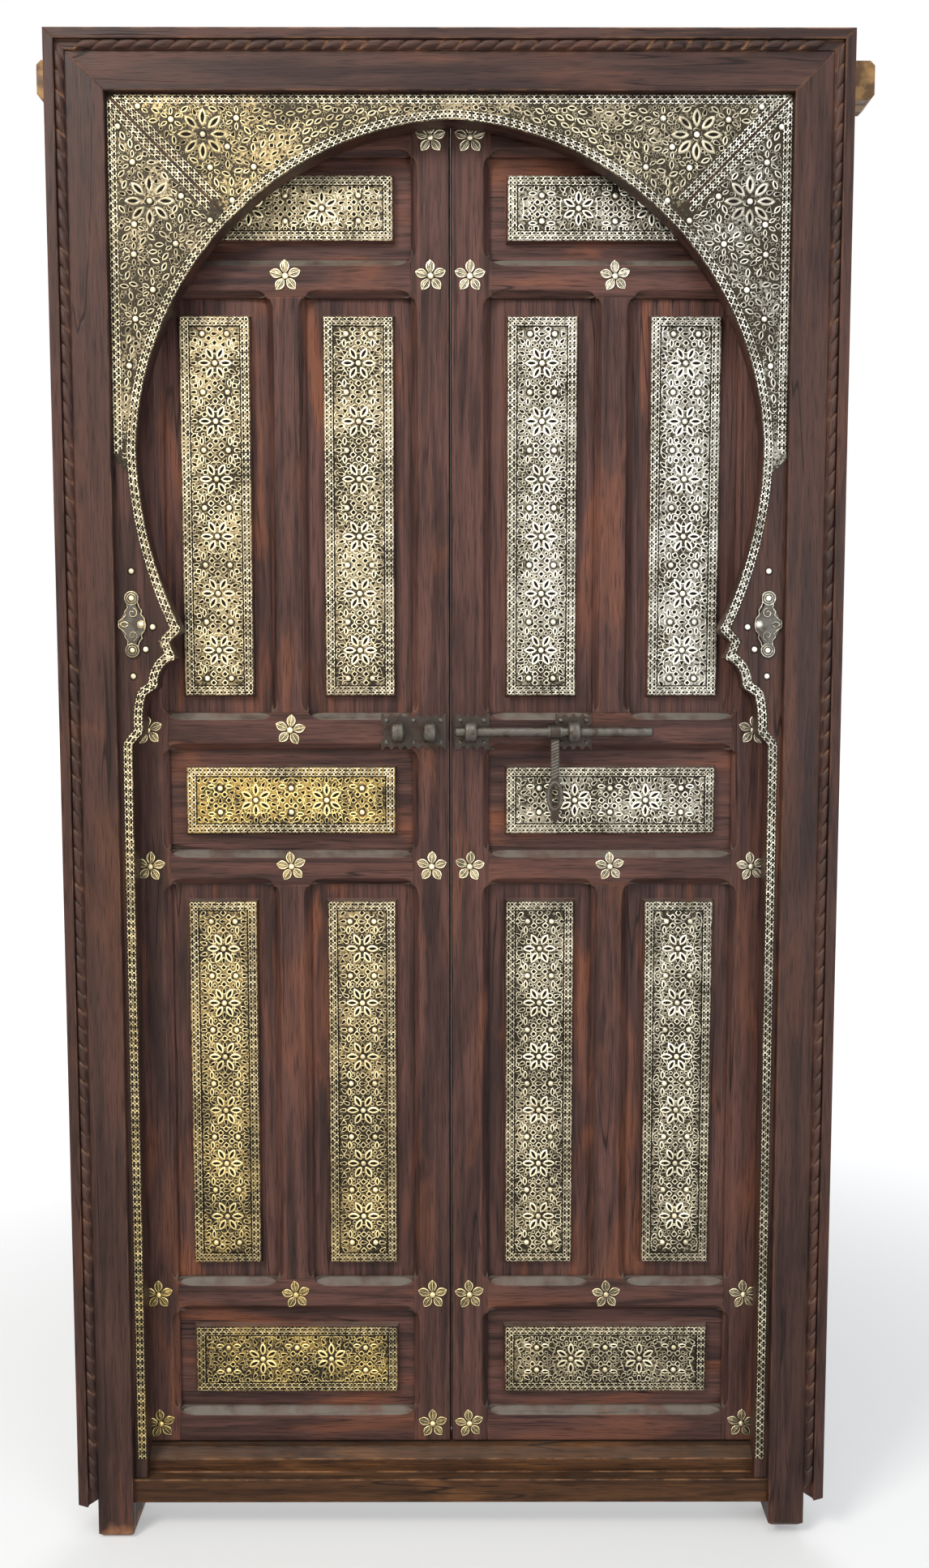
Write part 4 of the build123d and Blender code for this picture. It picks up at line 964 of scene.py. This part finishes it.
def spandrel_rows(room, centres, low, high, tries):
    """Rows for the right half of the door: rosettes, a ring of petals round each nail, then darts."""
    spots = [(x, z) for x, z in nail_spots if x > 0]
    rows, taken = [], [(x, z, NAIL_SPACE) for x, z in spots]
    for cx, cz in centres:
        for i in range(PETALS):
            a = 2 * math.pi * i / PETALS
            x, z = cx + PETAL_REACH * math.cos(a), cz + PETAL_REACH * math.sin(a)
            rows.append((x, z, PETAL, a, 1.0, 1.0))
            taken += almond_discs(x, z, a, PETAL_SIZE)
    for motif, radius, reach, petals, size in RING_MOTIFS:
        for cx, cz in spots:
            for i in range(petals):
                a = 2 * math.pi * (i + 0.5) / petals
                x, z = cx + reach * math.cos(a), cz + reach * math.sin(a)
                others = [t for t in taken if t[:2] != (cx, cz)]
                if room(x, z) > RING_ROOM + radius and has_room(x, z, radius, others):
                    taken.append((x, z, radius))
                    rows.append((x, z, motif, a, size, size))
    for motif, radius, size in DART_MOTIFS:
        for _ in range(tries):
            x, z = dice.uniform(low[0], high[0]), dice.uniform(low[1], high[1])
            if room(x, z) > BORDER_ROOM + 0.7 * radius and has_room(x, z, radius, taken):
                taken.append((x, z, radius))
                cx, cz = min(spots + list(centres), key=lambda c: (c[0] - x) ** 2 + (c[1] - z) ** 2)
                rows.append((x, z, motif, math.atan2(z - cz, x - cx), size, size))
    return rows


def facing(rows, side):
    """Rows of points for one half of the door; the left half mirrors the right one."""
    faced = []
    for x, z, motif, angle, size, width in rows:
        turn = -angle if side > 0 else angle - math.pi
        faced.append((side * x, SHEET_Y, z, motif, turn, size, width))
    return faced


top_rows = spandrel_rows(room_on_top, [TOP_ROSETTE], (4, 1980), (500, 2180), DARTS)
both_halves = facing(top_rows, -1) + facing(top_rows, 1)
grow(point_source("top_spandrel_relief", both_halves), on_points, "frame", "brass_sheet",
     Motifs=relief_motifs, Material=brass_top)
side_rows = spandrel_rows(room_on_side, [SIDE_ROSETTE], (330, 1640), (505, 2150), DARTS)
for hand, side in SIDES:
    grow(point_source(f"{hand}_spandrel_relief", facing(side_rows, side)), on_points, "frame", "brass_sheet",
         Motifs=relief_motifs, Material=brass_side)

border_paths = []
for inset in SCROLL_INSETS:
    edge = aside(arch_line, inset)
    seam = inset * DIAGONAL
    outer = [(SIDE_X - inset, SIDE_TOP - 3 * inset), (SIDE_X - inset, TAIL_Z + TAIL_GAP + inset)]
    top_seam = [(TOP_X - seam - across, TOP_Z - across) for across in (inset, SEAM_REACH)]
    side_seam = [(SIDE_X - across, SIDE_TOP - seam - across) for across in (inset, SEAM_REACH)]
    for side in (-1, 1):
        border_paths.append([(side * x, SHEET_Y - 0.4, z) for x, z in edge])
        for line in (outer, top_seam, side_seam):
            border_paths.append([(side * x, SHEET_Y, z) for x, z in line])
    border_paths.append([(side * (TOP_X - 3 * inset), SHEET_Y, TOP_Z - inset) for side in (-1, 1)])
grow(path_source("frame_brass_borders", border_paths), along_path, "frame", "brass_sheet",
     Motifs=border_motifs, Material=brass_edge, Spacing=SCROLL_STEP)

# %% [markdown]
# ## Rope mouldings
# Each moulding is a plain bed with a fillet beside it, and a twist carved on the bed. A twist
# repeats one rounded strand at the CAD's pitch, so a tree lays it along a line. The strand
# leans the other way on the left.

# %% Rope mouldings
def prism(corners, faces, outline, front, back):
    start, count = len(corners), len(outline)
    for y in (front, back):
        corners += [(x * MM, y * MM, z * MM) for x, z in outline]
    faces.append(tuple(range(start, start + count)))
    faces.append(tuple(range(start + 2 * count - 1, start + count - 1, -1)))
    for i in range(count):
        j = (i + 1) % count
        faces.append((start + j, start + i, start + count + i, start + count + j))


def strand_motif(name, lean):
    """A rounded strand as long as the pitch, sheared so that the grooves between strands slant."""
    corners = []
    long_steps, cross_steps, radius, shear = 10, 8, 6.9, 8.0
    for i in range(long_steps + 1):
        t = -1 + 2 * i / long_steps
        for j in range(cross_steps + 1):
            a = -1 + 2 * j / cross_steps
            round_across = math.sqrt(max(0.0, 1 - a * a))
            round_along = math.sqrt(max(0.0, 1 - t * t))
            height = radius * round_across * (0.25 + 0.75 * round_along)
            along = PITCH / 2 * t + lean * shear * a
            corners.append((along * MM, -height * MM, radius * a * MM))
    return make_object(name, corners, grid_faces(long_steps + 1, cross_steps + 1))


HALF, BED, JAMB, TOP, HEAD, BED_WIDE = 595.0, 580.0, 566.0, 2272.0, 2243.0, 14.0
FRONT, BED_FRONT, BACK, PITCH = -59.0, -52.0, -26.0, 28.0
BED_CUT, FILLET_CUT, ROPE_END, EVEN = 9.0, 4.5, 8.0, {"Size Low": 1.0, "Size High": 1.0}


def moulding(hand, outlines, material, lean, line):
    """A bed and a fillet in place of the CAD moulding, and strands along a line."""
    corners, faces = [], []
    for outline, front in zip(outlines, (BED_FRONT, FRONT)):
        prism(corners, faces, outline, front, BACK)
    plain = put_in_scene(make_object(f"{hand}_moulding_bed", corners, faces), material)
    plain.data.shade_flat()
    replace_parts(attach(plain, "frame"), f"{hand}_moulding")
    strands = collect(f"{hand}_strands", [strand_motif(f"motif_{hand}_strand", lean)])
    grow(path_source(f"{hand}_rope", [line]), along_path, "frame", "frame_wood",
         Motifs=strands, Material=material, Spacing=PITCH * MM, Flip=0.0, **EVEN)


bed_top = HEAD + BED_WIDE
for hand, side, lift in (("left", -1, 2.0), ("right", 1, 12.0)):
    bed = [(JAMB, lift + BED_CUT), (BED, lift), (BED, bed_top), (JAMB, HEAD)]
    fillet = [(BED, lift), (HALF, lift + FILLET_CUT), (HALF, TOP), (BED, bed_top)]
    outlines = [[(side * x, z) for x, z in outline][::side] for outline in (bed, fillet)]
    first = lift + BED_CUT + PITCH
    last = first + PITCH * int((HEAD - ROPE_END - first) / PITCH)
    line = [(side * (JAMB + BED) / 2, BED_FRONT, z) for z in (first, last)]
    moulding(hand, outlines, frame_upright, -side, line)
bed = [(-JAMB, HEAD), (JAMB, HEAD), (BED, bed_top), (-BED, bed_top)]
fillet = [(-BED, bed_top), (BED, bed_top), (HALF, TOP), (-HALF, TOP)]
half_run = PITCH * 0.5 * (int((2 * JAMB - PITCH) / PITCH) - 1)
line = [(x, BED_FRONT, HEAD + BED_WIDE / 2) for x in (-half_run, half_run)]
moulding("top", (bed, fillet), frame_level, 1, line)

# %% [markdown]
# ## Scroll ornaments
# Ridges swept along curls stand on the plain CAD ornament, with a nail in each disc.

# %% Scroll ornaments
def ridge(rows, faces, line, half_width, height, base_y):
    faces += grid_faces(len(line), 3, len(rows), turned=True)
    left, right = aside(line, half_width), aside(line, -half_width)
    # Feet take -0.7, painted dark as shade beside the ridge where the material reads relief; the crest takes
    # 0.8.
    for trio in zip(left, line, right):
        for (x, z), rise, value in zip(trio, (0.0, height, 0.0), (-0.7, 0.8, -0.7)):
            rows.append((x, base_y - rise, z, value))


def curl(cx, cz, radius, first, turns, shrink):
    points, steps = [], 14
    for i in range(steps + 1):
        s = i / steps
        a = math.radians(first) + turns * 2 * math.pi * s
        r = radius * (1 - (1 - shrink) * s)
        points.append((cx + r * math.cos(a), cz + r * math.sin(a)))
    return points


SCROLL_Y, SCROLL_X, SCROLL_Z, DISC_Z, EYE_X = -41.0, 485.5, 1406.0, 39.5, -14
RIDGE_HALF, RIDGE_HIGH, DISC_RINGS, EYE_RING = 1.3, 1.5, (10.2, 6.6), 5.4
HALF_LINES = (
    [(-9, 34), (-11, 27), (-15, 21), (-14, 15), (-19, 9), (-20.5, 0)],
    [(7, 31), (6, 25), (11, 19), (9, 14), (15, 8), (20, 5), (20.5, 0)],
    curl(-1, 17, 8.0, 100, 1.15, 0.25),
    [(5, 1), (10, 4), (15, 3), (18, 0)],
)
for hand, side in SIDES:
    lines = []
    for up in (-1, 1):
        lines += [curl(0, up * DISC_Z, radius, 0, 1, 1.0) for radius in DISC_RINGS]
        lines += [[(x, up * z) for x, z in line] for line in HALF_LINES]
    lines.append(curl(EYE_X, 0, EYE_RING, 0, 1, 1.0))
    rows, faces = [], []
    for line in lines:
        placed = [(side * (SCROLL_X + x), SCROLL_Z + z) for x, z in line]
        ridge(rows, faces, placed, RIDGE_HALF, RIDGE_HIGH, SCROLL_Y)
    ornament = put_in_scene(relief_object(f"{hand}_scroll_relief", rows, faces), brass_dull)
    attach(ornament, "frame")
    spots = [(0, DISC_Z), (0, -DISC_Z), (EYE_X, 0)]
    rows = [plain_row(side * (SCROLL_X + x), SCROLL_Y, SCROLL_Z + z) for x, z in spots]
    grow(point_source(f"{hand}_scroll_nails", rows), on_points, "frame", "nail_brass",
         Motifs=nail_motifs, Material=brass_nail)

# %% [markdown]
# ## Engraving of the hasp
# Slanting ridges make the shank look twisted, and an oval ridge runs round the slot.

# %% Engraving of the hasp
HASP_X, HASP_Y, SHANK_TOP, SHANK_LOW, SLOT_Z = 163.0, -13.0, 1224.0, 1170.0, 1140.0
TWIST_HALF, TWIST_RISE, TWIST_PITCH, OVAL_X, OVAL_Z, CUT_HALF, CUT_HIGH = 5.6, 2.6, 4.8, 10.6, 21.5, 1.7, 1.3
rows, faces = [], []
lines = [[(k * TWIST_HALF, z + k * TWIST_RISE) for k in (-1, 0, 1)]
         for z in np.arange(SHANK_LOW, SHANK_TOP, TWIST_PITCH)]
around = np.linspace(0, 2 * math.pi, 29)
lines.append([(OVAL_X * math.cos(a), SLOT_Z + OVAL_Z * math.sin(a)) for a in around])
for line in lines:
    ridge(rows, faces, [(HASP_X + x, z) for x, z in line], CUT_HALF, CUT_HIGH, HASP_Y)
engraving = put_in_scene(relief_object("hasp_engraving", rows, faces), forged)
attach(engraving, "hasp")
print("hasp ridges:", len(lines))

# %% [markdown]
# ## Nail heads of the bolt's plates and screws of the hinges
# Plain forged heads, placed from the boxes of the CAD solids they hold down.

# %% Bolt heads and hinge screws
HEAD_RADIUS, HEAD_RING, HEAD_SIDES, HEAD_INSET, HEAD_RISE, LONG_PLATE = 3.6, 3.9, 12, 8.5, 17.0, 40
SCREW_Y, SCREW_RISE, SCREW_NEAR, SCREW_FAR = 52.6, 38.0, 10.0, 20.0
head = dome_motif("motif_iron_head", HEAD_RADIUS, 2.2, HEAD_RING, HEAD_SIDES)
iron_motifs = collect("iron_motifs", [head])
for name in ("left_bolt_plate", "right_bolt_plates"):
    rows = []
    for low, high in solid_boxes(name):
        mid_x, mid_z = middle(low, high)
        half = (high[0] - low[0]) / 2
        for dx in ((-1, 0, 1) if half > LONG_PLATE else (-1, 1)):
            x = mid_x + dx * (half - HEAD_INSET)
            rows += [plain_row(x, low[1], mid_z + dz * HEAD_RISE) for dz in (-1, 1)]
    grow(point_source(name + "_heads", rows), on_points, nodes[name]["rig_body"], "dark_iron",
         Motifs=iron_motifs, Material=forged)
for name in ("hinge_frame_plates", "left_hinge_plates", "right_hinge_plates"):
    rows = []
    for low, high in solid_boxes(name):
        outer_left = abs(low[0]) > abs(high[0])
        far = low[0] if (name == "hinge_frame_plates") == outer_left else high[0]
        inward = 1 if far == low[0] else -1
        for dz in (-SCREW_RISE, 0.0, SCREW_RISE):
            x = far + inward * (SCREW_NEAR if dz else SCREW_FAR)
            rows.append((x, SCREW_Y, middle(low, high)[1] + dz, 0, 0.0, 1.0, -1.0))
    screw = dome_motif("motif_" + name, HEAD_RADIUS, -1.8, HEAD_RING, HEAD_SIDES)
    grow(point_source(name + "_screws", rows), on_points, nodes[name]["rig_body"], "hinge_iron",
         Motifs=collect(name + "_motif", [screw]), Material=hinge_metal)

# %% [markdown]
# ## Camera, light and floor
# The camera stands where the photo's was, worked out from the door's own straight lines:
# about 2.2 m away, a little above the middle, tipped down by five degrees. Soft area lamps
# light the door at a plain level, and the camera and shiny metal see a white backdrop.

# %% Camera, light and floor
def seen_rays(tree):
    """1 for the rays that show a surface to the camera, straight, in a mirror or through glass."""
    rays = wire(tree, "ShaderNodeLightPath").outputs
    mirrored = calc(tree, "MAXIMUM", rays["Is Glossy Ray"], rays["Is Transmission Ray"])
    return calc(tree, "MAXIMUM", rays["Is Camera Ray"], mirrored)


FOCAL_PIXELS, TALL_PIXELS = 1750, 1934
camera = bpy.data.cameras.new("camera")
camera.sensor_width = 36.0
camera.lens = camera.sensor_width * FOCAL_PIXELS / TALL_PIXELS
eye = bpy.data.objects.new("camera", camera)
eye.location = (0.017, -2.2185, 1.353)
eye.rotation_euler = (math.radians(90 - 5.024), 0.0, math.radians(-0.124))
scene_objects.link(eye)
scene.camera = eye
scene.view_settings.view_transform = "Standard"


def lamp(name, place, aim, size, watts, colour=(1, 1, 1)):
    light = bpy.data.lights.new(name, "AREA")
    light.size = size
    light.energy = watts
    light.color = colour
    holder = bpy.data.objects.new(name, light)
    holder.location = place
    holder.rotation_euler = (Vector(aim) - Vector(place)).to_track_quat("-Z", "Y").to_euler()
    scene_objects.link(holder)


lamp("key", (-2.6, -3.5, 4.4), (0.0, 0.0, 1.2), 1.6, 235, (1.0, 0.96, 0.9))
lamp("fill", (2.8, -3.8, 1.7), (0.0, 0.0, 1.1), 2.4, 85, (0.86, 0.94, 1.0))
lamp("low", (-1.6, -3.2, 0.5), (0.0, 0.0, 0.6), 1.4, 14, (1.0, 0.75, 0.48))
lamp("top", (0.0, -2.4, 4.6), (0.0, 0.0, 1.0), 2.4, 60, (0.95, 0.98, 1.0))
lamp("back", (0.5, 3.0, 3.2), (0.0, 0.0, 1.2), 2.0, 60)

world = bpy.data.worlds.new("world")
scene.world = world
world.use_nodes = True
tree = world.node_tree
tree.nodes.clear()
seen = seen_rays(tree)
soft = wire(tree, "ShaderNodeBackground", {"Color": (0.92, 0.96, 1.0, 1), "Strength": 0.45}).outputs[0]
white = wire(tree, "ShaderNodeBackground", {"Color": (1, 1, 1, 1), "Strength": 1.0}).outputs[0]
sky = wire(tree, "ShaderNodeMixShader", {0: seen, 1: soft, 2: white}).outputs[0]
wire(tree, "ShaderNodeOutputWorld", {"Surface": sky})

FLOOR_Z, FLOOR_HALF = -0.0555, 60
floor = make_object("floor", [(x * FLOOR_HALF, y * FLOOR_HALF, FLOOR_Z) for x, y in SQUARE], [(0, 1, 2, 3)])
pale, tree, shader = new_material("pale_floor")
shader.inputs["Base Color"].default_value = (0.5, 0.5, 0.5, 1)
shader.inputs["Roughness"].default_value = 0.8
# Near the door the lamps light the floor and the door's shadow shows; far off it glows white.
GLOW_NEAR, GLOW_FAR, DIM, WHITE = 0.8, 3.5, 0.27, 0.86
spot = wire(tree, "ShaderNodeNewGeometry").outputs["Position"]
away = wire(tree, "ShaderNodeVectorMath", {0: spot}, operation="LENGTH").outputs["Value"]
tree.links.new(ramp(tree, away, GLOW_NEAR, GLOW_FAR, DIM, WHITE), shader.inputs["Emission Color"])
tree.links.new(seen_rays(tree), shader.inputs["Emission Strength"])
put_in_scene(floor, pale)
print("camera lens", round(camera.lens, 2), "mm")
